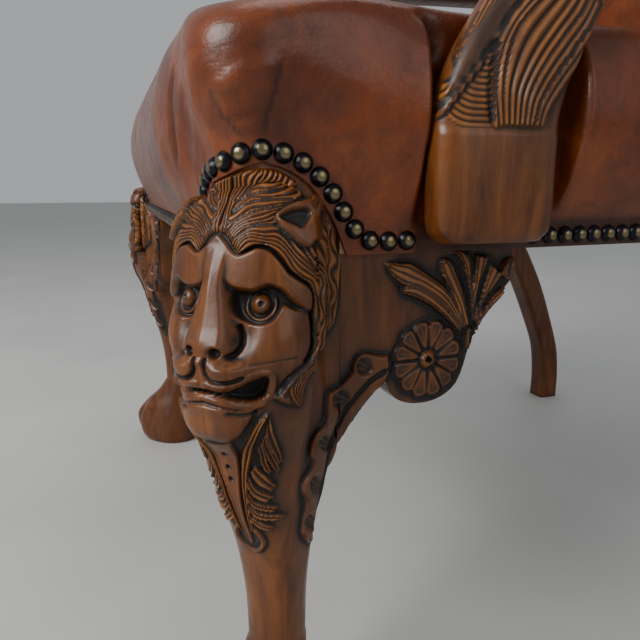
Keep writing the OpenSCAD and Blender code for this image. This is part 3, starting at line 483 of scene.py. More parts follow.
def carved_wood():
    """Old mahogany, darkened in its hollows by stain and painted shade, with rubbed, lighter edges."""
    f = Finish("carved_wood")
    at = f.place()
    figure = f.noise(f.place((14, 14, 2.2)), 6, 6, 0.6, 0.8)
    patches = f.noise(at, 9, 3)
    pores = f.noise(f.place((260, 260, 16)), 5, 3, 0.7)
    tone = f.ramp(figure, [(0.3, (0.050, 0.0135, 0.0030)), (0.52, (0.118, 0.036, 0.0070)),
                           (0.75, (0.200, 0.068, 0.0125))])
    tone = f.mix(f.scaled(patches, 0.35, 0.7, 0, 0.55), tone, (0.042, 0.0125, 0.0035))
    tone = f.mix(f.scaled(pores, 0.55, 0.75, 0, 0.35), tone, (0.02, 0.007, 0.003))
    groove_shade, crest = strand_lines(f)
    # Stain and painted shade in the hollows, cuts and drilled holes, and painted shade along the cut lines
    # between strands, nearly black
    hollow = f.attribute("cavity")
    cavity = f.sum(f.scaled(hollow, 0.05, 0.75, 0, 1), f.sum(groove_shade, 0.97, "MULTIPLY"), "MAXIMUM")
    rubbed = f.sum(f.attribute("edge"), f.sum(crest, 0.45, "MULTIPLY"), "MAXIMUM")
    wear = f.sum(rubbed, f.scaled(f.noise(at, 55, 4), 0.3, 0.65, 0.35, 1.15), "MULTIPLY", True)
    tone = f.mix(wear, tone, (0.37, 0.140, 0.030))
    tone = f.mix(cavity, tone, (0.006, 0.0035, 0.0025))
    rough = f.scaled(f.noise(at, 70, 5), 0.3, 0.7, 0.26, 0.40)
    rough = f.sum(rough, f.sum(cavity, 0.3, "MULTIPLY"))
    grain = f.bump(pores, 0.12, 0.0006, f.bump(f.noise(at, 190, 4), 0.14, 0.0009))
    relief = f.bump(crest, 0.75, 0.0011, grain)
    return f.shade(Base_Color=tone, Roughness=rough, Normal=relief, Specular_IOR_Level=0.32,
                   Coat_Weight=0.12, Coat_Roughness=0.18)


def strand_lines(f):
    """Painted shade along the cut lines between carved strands, and the rounded strands themselves, from the
    strand attribute.
    """
    share = f.sum(f.attribute("strand"), 1.0, "FLOORED_MODULO")
    from_line = f.sum(share, f.sum(1.0, share, "SUBTRACT"), "MINIMUM")
    ridged = f.attribute("ridged")
    # Painted shade along the cut lines between strands
    groove_shade = f.sum(f.scaled(from_line, 0.05, 0.23, 1, 0), ridged, "MULTIPLY")
    crest = f.sum(f.scaled(from_line, 0.02, 0.42, 0, 1), ridged, "MULTIPLY")
    return groove_shade, crest


def frame_wood():
    """Plain beech for the rails and blocks that the upholstery hides."""
    f = Finish("frame_wood")
    figure = f.noise(f.place((3, 30, 30)), 8, 6, 0.6, 0.5)
    flecks = f.noise(f.place((60, 400, 400)), 6, 2)
    tone = f.ramp(figure, [(0.3, (0.20, 0.115, 0.058)), (0.55, (0.31, 0.19, 0.10)),
                           (0.8, (0.40, 0.26, 0.15))])
    tone = f.mix(f.scaled(flecks, 0.55, 0.75, 0, 0.4), tone, (0.13, 0.07, 0.035))
    return f.shade(Base_Color=tone, Roughness=f.scaled(figure, 0.3, 0.8, 0.5, 0.68),
                   Normal=f.bump(flecks, 0.2, 0.0005))


def leather():
    """Antiqued red-brown hide: pebbled grain, dark mottling, polished high places, and painted shade in its
    folds and beside the arm supports.
    """
    f = Finish("hide")
    at = f.place()
    clouds = f.noise(at, 10, 6, 0.62, 0.9)
    blots = f.noise(at, 52, 6, 0.66, 0.5)
    smears = f.noise(f.place((62, 62, 26), (0.3, 0.5, 0.2)), 1.0, 6, 0.66, 1.0)
    tone = f.ramp(clouds, [(0.3, (0.066, 0.0122, 0.0022)), (0.45, (0.102, 0.0195, 0.0032)),
                           (0.6, (0.150, 0.0310, 0.0046)), (0.78, (0.200, 0.0480, 0.0074))])
    tone = f.mix(f.scaled(blots, 0.46, 0.74, 0, 0.62), tone, (0.034, 0.0105, 0.005))
    tone = f.mix(f.scaled(smears, 0.52, 0.72, 0, 0.4), tone, (0.030, 0.010, 0.005))
    painted_shade = f.attribute("painted_shade")
    # Painted shade in the leather's folds and beside the arm supports
    tone = f.mix(f.scaled(painted_shade, 0, 1, 0, 0.85), tone, (0.018, 0.006, 0.003))
    pebbles = f.cells(at, 620, "SMOOTH_F1")
    stretched = f.add("ShaderNodeMapping", {"Vector": at, "Scale": (1, 1, 0.8)})
    creases = f.cells(stretched, 190, "DISTANCE_TO_EDGE")
    lines = f.scaled(creases, 0, 0.06, 1, 0)
    tone = f.mix(f.sum(lines, 0.14, "MULTIPLY"), tone, (0.02, 0.006, 0.003))
    skin = f.bump(pebbles, 0.2, 0.0004, f.bump(creases, 0.16, 0.0006, f.bump(blots, 0.25, 0.003)))
    rough = f.sum(f.scaled(blots, 0.3, 0.7, 0.25, 0.42), f.scaled(painted_shade, 0, 1, 0, 0.2))
    return f.shade(Base_Color=tone, Roughness=rough, Normal=skin, Specular_IOR_Level=0.32,
                   Coat_Weight=0.14, Coat_Roughness=0.14)


def nail_metal():
    """Antiqued nail heads: blue-black patina with a disc of olive brass rubbed bright on the crown."""
    f = Finish("nail_heads")
    at = f.place()
    spots = f.noise(at, 420, 4)
    crown = f.sum(f.attribute("crown"), f.scaled(spots, 0.3, 0.7, -0.1, 0.1), clamp=True)
    tone = f.ramp(crown, [(0.25, (0.013, 0.013, 0.017)), (0.5, (0.040, 0.034, 0.026)),
                          (0.8, (0.150, 0.120, 0.062)), (1.0, (0.190, 0.155, 0.082))])
    rough = f.scaled(crown, 0, 1, 0.30, 0.24)
    return f.shade(Base_Color=tone, Roughness=rough, Metallic=0.85, Normal=f.bump(spots, 0.08, 0.0004))


def steel(name, tone):
    """Bright or blued metal with faint marks."""
    f = Finish(name)
    marks = f.noise(f.place((300, 300, 60)), 6, 3)
    shade = f.ramp(marks, [(0.3, tuple(0.6 * c for c in tone)), (0.7, tone)])
    return f.shade(Base_Color=shade, Metallic=1.0, Roughness=f.scaled(marks, 0.3, 0.7, 0.3, 0.5))


def woven(name, dark, light, pitch):
    """Plain weave at its real thread pitch, in metres."""
    f = Finish(name)
    at = f.place()
    turns = math.tau / pitch / 20
    lines = [f.add("ShaderNodeTexWave", {"Vector": at, "Scale": turns, "Distortion": 0.6, "Detail": 1},
                   "Fac", bands_direction=way) for way in ("X", "Y", "Z")]
    weave = f.sum(f.sum(lines[0], lines[1], "MULTIPLY"), lines[2], "MAXIMUM")
    slubs = f.noise(at, 160, 4)
    tone = f.mix(f.scaled(weave, 0.1, 0.8, 0, 1), dark, light)
    tone = f.mix(f.scaled(slubs, 0.5, 0.75, 0, 0.4), tone, dark)
    return f.shade(Base_Color=tone, Roughness=f.scaled(slubs, 0.3, 0.7, 0.8, 0.95),
                   Normal=f.bump(weave, 0.5, 0.0006))


def hair_fibre():
    """Curled hair and fibre of the stuffing."""
    f = Finish("stuffing")
    curls = f.noise(f.place(), 150, 8, 0.7, 2.5)
    tone = f.ramp(curls, [(0.3, (0.06, 0.04, 0.025)), (0.6, (0.24, 0.17, 0.10)), (0.8, (0.4, 0.31, 0.2))])
    return f.shade(Base_Color=tone, Roughness=f.scaled(curls, 0.3, 0.7, 0.85, 0.97),
                   Normal=f.bump(curls, 0.7, 0.002))


def studio_floor():
    """Pale matt studio floor."""
    f = Finish("floor")
    dust = f.noise(f.place(), 3, 5)
    tone = f.mix(f.scaled(dust, 0.3, 0.7, 0, 1), (0.44, 0.44, 0.43), (0.50, 0.50, 0.485))
    return f.shade(Base_Color=tone, Roughness=f.scaled(dust, 0.3, 0.7, 0.5, 0.65))


WOOD = carved_wood()
PLAIN_WOOD = frame_wood()
HIDE = leather()
NAILS = nail_metal()
SCREWS = steel("screws", (0.42, 0.37, 0.28))
TACKS = steel("tacks", (0.16, 0.17, 0.19))
WEBBING = woven("webbing", (0.16, 0.12, 0.07), (0.50, 0.42, 0.29), 0.0018)
HESSIAN = woven("hessian", (0.13, 0.085, 0.045), (0.42, 0.31, 0.18), 0.0022)
DUST_CLOTH = woven("dust_cloth", (0.012, 0.011, 0.010), (0.045, 0.042, 0.038), 0.0009)
FIBRE = hair_fibre()

# Front legs: a square stile behind a lion mask, tapering to an ankle and a paw
CORNER_R = 22.0
HALF = STILE / 2
HEM_Z = RAIL_BOTTOM - 1
ARCH_W = 1.05 * STILE
ARCH_H = 47.5
FRONT_DIP = 9.0
KNEE_TOP = 388.0
ANKLE = 95.0
FACE_LINE = [[95, 17.5], [120, 18], [147, 21], [166, 25], [205, 37], [235, 46], [247, 54], [256, 58],
             [276, 58], [300, 56], [323, 52], [348, 47], [360, 41], [375, 29], [388, 10], [405, 2]]
FACE_HALF = [[95, 17.5], [130, 19], [166, 24], [205, 32], [235, 38], [260, 42], [290, 46], [318, 46.5],
             [340, 45], [360, 39], [372, 31], [384, 14], [388, 6], [405, 2]]
STILE_HALF = [[95, 17.5], [130, 18.5], [166, 22], [200, 26], [235, 29], [260, 30], [405, 30]]
STILE_POWER = [[95, 2], [166, 2.4], [204, 4.2], [222, 9], [235, 30], [405, 40]]
PAW_CENTRE = [[0, 20], [14, 23], [33, 24], [55, 19], [75, 9], [95, 0]]
PAW_LENGTH = [[0, 40], [14, 45], [33, 47], [55, 37], [75, 24], [95, 17.5]]
PAW_HALF = [[0, 34], [14, 37], [33, 36], [55, 30], [75, 22], [95, 17.5]]
OUT = np.array([math.sqrt(0.5), -math.sqrt(0.5), 0])
ALONG = np.array([math.sqrt(0.5), math.sqrt(0.5), 0])
STILE_AT = np.array([SEAT_W / 2 - HALF, FRONT_Y + HALF, 0])
RIGHT_ANGLE = math.pi / 2
EIGHTH = math.pi / 4


def hem_at(d, dip=0.0):
    """Height of the leather's hem at a distance d from a front corner."""
    return HEM_Z + (ARCH_H - dip) * np.maximum(0, 1 - (np.abs(d) / ARCH_W) ** 3.5) ** 0.93


def dip_at(angle):
    """How much lower the arch stands towards the front, by the angle round the corner from the front."""
    return FRONT_DIP * np.cos(np.clip(angle, 0, RIGHT_ANGLE)) ** 2


def corner_out(phi):
    """How far out the stile's rounded front corner lies."""
    m = (HALF - CORNER_R) * math.sqrt(2)
    root = np.sqrt(np.maximum(CORNER_R**2 - (m * np.sin(phi)) ** 2, 0))
    return np.where(np.abs(phi) > math.radians(30), STILE, m * np.cos(phi) + root)


def side_limit(phi):
    """How far out the plane of the stile's side lies, which leans with the seat's taper."""
    lean = np.cos(phi - EIGHTH - TAPER)
    near = HALF * (math.cos(TAPER) - math.sin(TAPER)) / np.maximum(lean, 0.2)
    return np.where(lean < 0.2, STILE, near)


def stile_radius(phi, h):
    """Radius of the leg's stile and shank."""
    half = np.minimum(curve(h, STILE_HALF), HALF)
    square = power_radius(np.cos(phi - EIGHTH), np.sin(phi - EIGHTH), half, half, curve(h, STILE_POWER))
    return np.minimum(np.minimum(square, corner_out(phi)), side_limit(phi))


def mask_radius(phi, h):
    """Radius of the mask's main swelling on the knee."""
    length, half = curve(h, FACE_LINE), curve(h, FACE_HALF)
    r = power_radius(np.cos(phi), np.sin(phi), length, half, 2.35)
    return np.where((h > KNEE_TOP) | (np.cos(phi) < -0.01), 0, r)


def leg_radius(phi, h):
    """Radius of the leg's plain form, before any carving, and the carving's share of it."""
    stile = stile_radius(phi, h)
    out = HALF + stile * np.sin(np.abs(phi) - EIGHTH)
    clear = hem_at(out + 3.5, dip_at(phi + EIGHTH)) - h
    face = stile + (mask_radius(phi, h) - stile) * smooth((clear - 7) / 6)
    behind = np.sin(np.maximum(np.abs(phi) - EIGHTH, 0.02))
    limit = np.where(np.abs(phi) < math.radians(50), 2 * STILE, HALF / behind)
    proud = face > stile
    radius = np.where(proud, np.minimum(face, np.maximum(stile, limit)), stile)
    on_mask = np.maximum(smooth((radius - stile) / 6), smooth((h - 335) / 10) * (np.cos(phi) > 0.55))
    return radius, on_mask * smooth((clear - 0.4) / 2.2)


def paw_radius(phi, h):
    """A paw with four rounded toes."""
    base = power_radius(np.cos(phi), np.sin(phi), curve(h, PAW_LENGTH), curve(h, PAW_HALF), 2.3)
    low = smooth((62 - h) / 26) * (np.cos(phi) > 0)
    valley = sum(np.exp(-(((np.abs(phi) - math.radians(a)) / 0.13) ** 2)) for a in (0, 38))
    toe = sum(np.exp(-(((np.abs(phi) - math.radians(a)) / 0.24) ** 2)) for a in (19, 58))
    knuckle = np.exp(-(((h - 40) / 13) ** 2))
    return base + low * (1.6 * toe * knuckle - 4.5 * valley) - 2.5 * smooth((6 - h) / 8)


def leg_columns(h, fine, coarse, back):
    """Angles around the leg at a height, evenly spaced along its face, and their arc from the middle."""
    phi = np.linspace(0, RIGHT_ANGLE, 721)
    low = h < ANKLE
    r = paw_radius(phi, h) if low else leg_radius(phi, np.full_like(phi, h))[0]
    x, y = r * np.cos(phi), r * np.sin(phi)
    run = np.concatenate([[0], np.cumsum(np.hypot(np.diff(x), np.diff(y)))])
    split = min(76.0, run[-1] * 0.8)
    at = np.concatenate([np.linspace(0, split, fine, endpoint=False), np.linspace(split, run[-1], coarse)])
    front = np.interp(at, run, phi)
    rear = np.linspace(RIGHT_ANGLE, math.pi, back + 1)[1:]
    return front, at, rear


# Carving of the mask, drawn as [distance from its middle line, height] on one half and mirrored
CREST = [[150, 0.2], [166, 0.5], [194, 2.4], [221, 2.6], [230, 2.4], [239, 1.8], [247, 2.4], [255, 4.5],
         [262, 4.5],
         [268, 7], [274, 8.7], [282, 10], [288, 10.5], [294, 12], [299, 12], [305, 10.6], [314, 9.4],
         [326, 8.2],
         [338, 5.6], [345, 3], [352, 0.5], [360, -1.5], [370, -2], [380, -1.5], [392, 0]]
NOSE_HALF = [[286, 13], [294, 14.5], [303, 14.5], [310, 12.5], [317, 10.5], [327, 8], [336, 8.5], [345, 9],
             [352, 9]]
BROW = [(11, 339.5), (16, 342.5), (20, 344), (26, 342.5), (31, 338), (36, 332), (41.5, 328), (46.5, 324.5),
        (48.5, 319), (48.5, 312.5), (50.5, 305), (51, 296), (49, 289), (42.5, 283), (38, 279)]
BAND = [(6.7, 344.5), (11, 348.5), (17, 352), (22.7, 353), (28.6, 352), (35, 348), (40, 343), (46.5, 334),
        (53, 328.5), (55.5, 323), (56, 317), (57, 300), (55, 292), (50, 286.5), (42.5, 281), (38.3, 276.5),
        (38.4, 272), (41, 267), (45.7, 262.5)]
CROWN = [(4.5, 348.5), (8.6, 354), (14.3, 357.5), (19.5, 359.5), (25.6, 360.5), (31.7, 361.5)]
LOCKS = [[(4.4, 358.5), (13.4, 362.5), (22.4, 364), (31.5, 364), (39, 365.5), (46, 370)],
         [(6.5, 363), (13, 366), (20, 367.5), (27, 368.5), (32, 372), (34, 377)],
         [(9, 365.5), (12.6, 371), (18.3, 372.5), (23, 374.5), (25, 378.5)]]
NAPE = [(47.9, 351), (53.4, 344), (60.8, 335), (65.8, 325), (69.6, 315), (70.6, 302), (69.3, 292),
        (60, 285),
        (50, 279.5), (46.5, 273.5), (46.2, 267.5), (46, 262.5)]
MANE_EDGE = [(16.9, 384), (25.6, 383), (33.3, 380.5), (40.2, 376.5), (47.5, 371.5), (56, 365), (66.3, 355),
             (74.7, 342), (78, 333), (80, 305), (73.5, 293), (61, 285.5), (51, 280), (47.5, 273.5),
             (47.2, 267.5), (46.6, 262.5)]
EAR = [(25, 356), (27.4, 359), (32, 362), (41, 363.4), (46.6, 361.6), (49, 354), (46.6, 347),
       (42.2, 342.4), (35, 347), (28.6, 352)]
EYE = (23.4, 317.0)
BROW_PAD = [(-3, 331), (3, 329), (7, 325.4), (10.2, 324), (14.8, 323.3), (19.4, 323.5), (23.4, 325),
            (27, 325.8),
            (33, 323.3), (38.5, 318.3), (47, 312.5), (49, 318), (46.5, 324), (41.5, 327.6), (36, 331.6),
            (31, 337.6), (26, 342), (20, 343.6), (16, 342), (11, 340.5), (6, 345), (0, 349.5), (-3, 349.5)]
SOCKET = [(8.5, 323), (14.8, 323), (19.4, 323), (23.4, 324.6), (27, 325.4), (33, 323), (38.5, 318),
          (44, 313),
          (40, 313.6), (35, 315.6), (32.4, 312), (29.4, 308.6), (24, 307), (17.5, 307.8), (11.5, 311),
          (8.6, 317)]
MOUTH = [(-3, 276.8), (3, 276), (10, 275.6), (15, 277.4), (20, 280), (25, 281.7), (28, 281), (28.2, 276),
         (26.5, 271.6), (22, 269.8), (16, 270.3), (10, 272), (4, 273.6), (-3, 274.3)]
UPPER_LIP = [(0, 279.4), (5, 278.7), (10, 278.4), (14.5, 280.3), (20, 283), (25, 284.6), (30, 283.4),
             (31.2, 278),
             (30, 272.4), (27, 269.4)]
LOWER_LIP = [(0, 271.4), (8, 269.5), (15, 267.6), (21, 266.8), (27, 268.2)]
JAW = [(31, 270), (35.5, 275.6), (40.5, 281.5), (47, 287.5)]
CHIN = [(-2, 268.6), (8, 267.4), (15, 265.6), (21.5, 265.6), (21, 262), (17.5, 256.5), (13, 252),
        (7, 248.8),
        (0, 248), (-2, 248)]
PHILTRUM = [(2.8, 291.8), (2.7, 287), (3.8, 283.2), (7.5, 280.6), (13, 280.9), (18.5, 283.2)]
CHEEK_CREASE = [(19, 288.3), (26, 289.3), (34, 290.2), (42.5, 290.6)]
COMMA = [(13.5, 307), (15.5, 302), (15.8, 297.5), (13.5, 293.5), (10.5, 292)]
HAIRLINE = [(48.4, 313.5), (50.4, 305.5), (51.3, 295.5), (49, 289), (42.5, 283.5), (37.7, 279),
            (34.8, 275.5), (31.5, 270.5)]
SCOOP = [(26.5, 355.6), (30.4, 358.3), (36.4, 359.6), (40.6, 358.3), (41.4, 354.4), (38.5, 350.6),
         (34, 352),
         (29.6, 353.8)]
# Looped leaves below the chin, as pairs of edges that run from the spine to the tip
LEAF_LOOPS = [([(29, 260.5), (29.4, 247.5), (27.5, 232)], [(26.6, 254.5), (24.7, 242.5), (25.7, 230.5)]),
              ([(25.6, 251.5), (24.2, 238.5), (25.8, 226.5)], [(22.9, 248), (20.8, 236.5), (23.6, 224.5)]),
              ([(22.3, 247), (20.1, 234.5), (21.2, 226.5)], [(19, 243), (17.4, 232.5), (19.1, 224.5)]),
              ([(14, 230), (17.6, 224), (21.8, 216.5)], [(11.4, 227), (13.5, 219.5), (19.2, 213)]),
              ([(9.8, 223), (12.4, 215), (19.8, 209)], [(8.4, 220), (9.8, 211.5), (15.6, 206.5)]),
              ([(7.6, 213), (10.8, 206), (20.9, 201.5)], [(6.6, 210), (9.4, 203), (17.8, 199)]),
              ([(6.4, 205), (10.8, 199), (24.2, 194.5)], [(6, 200.5), (10, 195), (20.4, 192.5)]),
              ([(5.8, 196.5), (10.4, 191.5), (16.4, 187.5)], [(5.4, 192.5), (8.8, 188), (13.8, 185.5)])]
PLATE = [[160, 0.5], [174, 0.8], [181, 1.1], [195, 1.6], [211, 2.9], [226, 5], [240, 6.6], [250, 7.8]]
PLATE_SIDE = [(7.6, 249), (6.6, 240), (5, 226), (2.9, 211), (1.7, 195), (1.2, 181), (0.5, 172)]
SPINE_OUT = [(29, 263.5), (24.2, 255.5), (16.4, 242.5), (11.2, 230.5), (8.6, 219.5), (7.2, 207.5), (6, 195),
             (5, 184.5)]
SPINE_IN = [(22.7, 258), (16.8, 250), (9.8, 239), (7.2, 228.5), (5.4, 217), (4.6, 204.5), (3.4, 191.5),
            (2.6, 182)]
HOOK = [(5, 186), (7.6, 180), (7.8, 173.5), (4, 167.5), (0.2, 166), (-2, 168.5)]


def face_forms(x, h):
    """Broad forms of the face above the mask's plain surface."""
    crest = curve(h, CREST)
    half = curve(h, NOSE_HALF)
    q = np.abs(x) / half
    wedge = (1 - 0.3 * q) * (1 - smooth((q - 0.5) / 0.55))
    nose = smooth((h - 286) / 8) * smooth((356 - h) / 12)
    below = smooth((292 - h) / 6)
    form = crest * below * np.exp(-((x / 17) ** 4))
    form += (1 - nose) * (1 - below) * crest * np.exp(-((x / 7) ** 2))
    bridge = crest * wedge * nose
    form += hump(x, h, 14.5, 287, 13, 9.5, 5.2) + hump(x, h, 33, 298, 14, 14, 4.5)
    return form - hump(x, h, 17.5, 303, 4, 7, 1.6), bridge


def draw_hair(c, hair):
    """The mane: a base of strands from the brow to its edge, then its locks one over another."""
    def lock(first, last, count):
        """One lock of count strands between two guide lines."""
        c.strands(hair, first, last, count, 1.3, wave=0.4 * min(count, 5) ** 0.5)

    wide_edge = [(14, 398), (30, 394), (44, 385), (54, 374), *MANE_EDGE[5:]]
    lock([(1, 384), (12, 384), (25, 380), (38, 375)], [(1, 398), (14, 398), (30, 394), (44, 385)], 6)
    lock([*BROW, (35, 273), (33, 269)], wide_edge, 20)
    lock([(0, 349), (0, 356), (0, 364)], [(6.7, 345.5), (8, 355), (9, 365)], 4)
    lock([(0, 362), (0.6, 374), (2, 392)], [(10, 366), (14, 375), (22, 390)], 6)
    lock(LOCKS[2], [(10, 370), (13, 377), (15, 383)], 4)
    lock(LOCKS[1], LOCKS[2], 2)
    lock(LOCKS[0], LOCKS[1], 2)
    lock(CROWN, LOCKS[0], 2)
    lock([(31.5, 361.5), (38, 363), (45, 367)], [(31.7, 364), (39, 365.5), (46, 370)], 1)
    lock([(25, 378.5), (31, 374), (40, 367)], [(17, 384), (33, 380.5), (47, 371.8)], 4)
    lock([(45, 369), (51, 360), (53.4, 344)], [(48, 371.5), (58, 362.5), (66.3, 355)], 4)
    lock(NAPE, MANE_EDGE[6:], 4)
    lock(BAND[6:], NAPE, 5)
    lock(BAND[:7], [*CROWN, (40, 357), (47.9, 351)], 4)
    lock(BROW, BAND[:16], 5)


def eye_form(c, form, dark):
    """Eyeball, lids and drilled pupil in their socket, with painted shade in the socket, round the ball and
    in the pupil.
    """
    r = np.hypot(c.X - EYE[0], c.Y - EYE[1])
    below = smooth((EYE[1] + 3 - c.Y) / 6)
    socket = c.region(SOCKET, 4.5)
    form -= 4.6 * smooth(socket * 1.1) + hump(c.X, c.Y, 11.5, 318, 4, 7, 1.8) * socket
    form += 4.6 * np.sqrt(np.clip(1 - (r / 5.2) ** 2, 0, 1))
    form += (1.0 + 1.8 * below) * np.exp(-(((r - 7.7) / 1.15) ** 2))
    form -= 1.8 * smooth((1.5 - r) / 0.7)
    bag = below * np.exp(-(((r - 7.7) / 1.5) ** 2))
    # Painted shade: dark in the socket, lighter on the lower lid, a dark ring round the ball and black in the
    # drilled pupil
    np.maximum(dark, 0.62 * smooth(socket * 1.4) * (1 - 0.75 * bag), out=dark)
    dark *= 1 - smooth((5.0 - r) / 0.6)
    np.maximum(dark, 0.95 * np.exp(-(((r - 6.0) / 0.7) ** 2)), out=dark)
    np.maximum(dark, smooth((1.7 - r) / 0.6), out=dark)


def mouth_form(c, form, dark):
    """Open mouth with small teeth between raised lips, with painted shade inside the mouth."""
    rims = c.layer()
    c.stroke(rims, UPPER_LIP, 1.7, 1.2, SOFT, 0.05)
    c.stroke(rims, LOWER_LIP, 2.0, 1.4, SOFT, 0.05)
    c.stroke(rims, JAW, 1.9, 1.9, SOFT, 0.1)
    form += rims
    mouth = c.region(MOUTH, 2.0)
    teeth = np.exp(-(((c.X % 3.4) - 1.7) / 1.35) ** 4) * (np.abs(c.X) < 10.5) * mouth
    form -= 7.0 * smooth(mouth * 1.2)
    form += 4.6 * teeth
    # Painted shade inside the open mouth, but not on the teeth
    np.maximum(dark, smooth(mouth * 1.5) * (1 - 0.9 * teeth), out=dark)


def ear_form(c, form, dark, hair):
    """Rounded ear with a scooped hollow, clear of the mane, and painted shade in the hollow."""
    body, scoop = c.region(EAR, 2.6), c.region(SCOOP, 3.2)
    form -= hair * smooth(body * 4)
    form += 4.6 * smooth(body * 1.2) - 3.6 * smooth(scoop)
    dark *= 1 - smooth(body * 2)
    # Painted shade in the ear's scooped hollow
    np.maximum(dark, 0.45 * smooth((scoop - 0.3) / 0.6), out=dark)
    c.ridged[body > 0] = 0


def mask_chart():
    """Relief of half the mask, with the face, the mane and the pendant of leaves below the chin."""
    c = Relief((-3, 92), (148, 396))
    x, h = c.X, c.Y
    form, bridge = face_forms(x, h)
    mane_outline = [(-3, 349.5), (4, 348), *BROW, (31.5, 270.5), (46.6, 262.5), *MANE_EDGE[5:][::-1],
                    (56, 372), (46, 384), (34, 392), (16, 398), (-3, 398)]
    mane = c.region(mane_outline, 3.2)
    mane[(x < 4) & (h > 353)] = 1
    hair = c.layer()
    draw_hair(c, hair)
    form = form * (1 - 0.9 * mane) + mane * (2.4 + hair)
    c.ridged[mane < 0.35] = 0
    dark = c.layer()
    brow = c.region(BROW_PAD, 3.4)
    eye_form(c, form, dark)
    form = form + merged(4.2 * smooth(brow * 1.05), bridge) * (1 - mane)
    dark *= 1 - smooth(bridge / 3)
    mouth_form(c, form, dark)
    cuts = c.layer()
    for line, half, depth in ((COMMA, 1.6, 3.2), (PHILTRUM, 1.4, 2.6), (HAIRLINE, 1.6, 2.8),
                              (CHEEK_CREASE, 0.8, 0.7), (BROW, 1.2, 1.6),
                              ([(0.2, 352), (0.4, 360), (0.2, 370), (0.4, 384)], 0.9, 0.9),
                              ([(10, 264.6), (16, 263.4), (22.5, 264)], 1.4, 1.8)):
        c.stroke(cuts, line, half, depth, SOFT, 0.08)
    form -= cuts
    nostril = smooth(1.5 * np.clip(1 - np.hypot(x - 6.4, (h - 293.8) * 1.15) / 3.5, 0, 1))
    form -= 5.0 * nostril
    # Painted shade in the nostril and along the cut lines
    np.maximum(dark, nostril, out=dark)
    np.maximum(dark, np.clip(cuts / 2.4, 0, 1), out=dark)
    form += 3.2 * smooth(c.region(CHIN, 4.2))
    ear_form(c, form, dark, hair)
    form = form + leaf_pendant(c, dark)
    c.height = form
    # Stain and painted shade where the carving lies below what is around it, with the painted shade of the
    # eye, mouth, nostril and cuts
    c.cavity = np.maximum(c.hollows(), dark)
    return c


def leaf_pendant(c, dark):
    """The pierced strap below the chin, with a spray of looped leaves to its side, and painted shade on the
    ground near them and in the pierced holes.
    """
    x, h = c.X, c.Y
    below = (h < 249) * (h > 172)
    inside = smooth((curve(h, PLATE) + 0.7 - np.abs(x)) / 0.7) * below
    plate = 2.2 * inside
    rims = c.layer()
    c.stroke(rims, PLATE_SIDE, 0.9, 3.0, BEAD, 0.03)
    c.stroke(rims, HOOK, 1.4, 3.2, BEAD, 0.05)
    leaves = c.layer()
    c.strands(leaves, SPINE_IN, SPINE_OUT, 2, 1.5, base=1.4)
    for first, last in LEAF_LOOPS:
        c.strands(leaves, first, last, 1, 1.4, True, 0.8)
        tip = (np.array(first[-1]) + last[-1]) / 2
        c.stroke(leaves, [tip], 1.5, 3.2, SOFT)
        cap = np.hypot(x - tip[0], h - tip[1]) < 1.4
        c.ridged[cap] = 0
    form = np.maximum.reduce([plate, rims, leaves])
    # Painted shade on the ground close to the raised leaves and rims
    near = blur((form > 1.0).astype(float), 8)
    field = smooth((h - 172) / 8) * smooth((264 - h) / 8) * smooth((36 - x) / 5)
    np.maximum(dark, 0.85 * smooth(near * 2.4) * (form < 0.6) * field, out=dark)
    holes = sum(smooth((1.8 - np.hypot(x, (h - z) * 0.9)) / 0.8) for z in (237.5, 228.5, 220.5))
    # Painted shade in the pierced holes
    np.maximum(dark, np.clip(holes, 0, 1), out=dark)
    c.ridged[(leaves > 0) & (h > 262)] = 0
    return form - 2.6 * holes


# Carving of the side: a scrolled ribbon that runs from the leg on to the bracket, with leaves and a rosette
RIBBON = [(89.5, 279.7), (84.8, 279.7), (79.6, 280.9), (74.5, 281.9), (69.5, 280.3), (67, 275.3),
          (65.1, 270.7),
          (57.7, 264.8), (52.3, 262.6), (51.3, 257.9), (50.3, 246.3), (44.9, 240.3), (42, 234.8),
          (41.1, 227.6),
          (42.5, 220.1), (38.2, 213.5), (36, 208), (38.1, 198.7), (36.6, 188.4), (36.1, 179), (41.5, 172)]
STRIP = [(90.7, 270.8), (85, 268.5), (78.9, 265.3), (74.8, 261.8), (66.8, 254), (62.8, 249.6),
         (57.8, 240.4),
         (52, 225.9), (49.1, 213.1), (46.1, 198.6), (44.6, 186.8), (42.3, 174.5)]
EDGE_LINE = [(87.3, 261.3), (81.1, 258.1), (75, 251.9), (68.9, 244.8), (62.9, 233.6), (57, 222),
             (51.3, 204),
             (49.8, 179.5), (48, 165)]
# The lines are as the photograph shows them on a plane DRAWN_AT outside the side's face.
# It was taken from VIEW_OUT outside that face, VIEW_AHEAD in front of the front corner and VIEW_Z up.
DRAWN_AT = 2.5
VIEW_OUT, VIEW_AHEAD, VIEW_Z = 306.5, 55.2, 374.0
HOLLOWS = [(74.5, 274, 5.6, 6.2), (60.5, 256.8, 6.6, 6.6), (51, 232.6, 5.6, 6), (44, 208.6, 4.2, 7.6),
           (40.4, 186.6, 3.6, 5.2)]
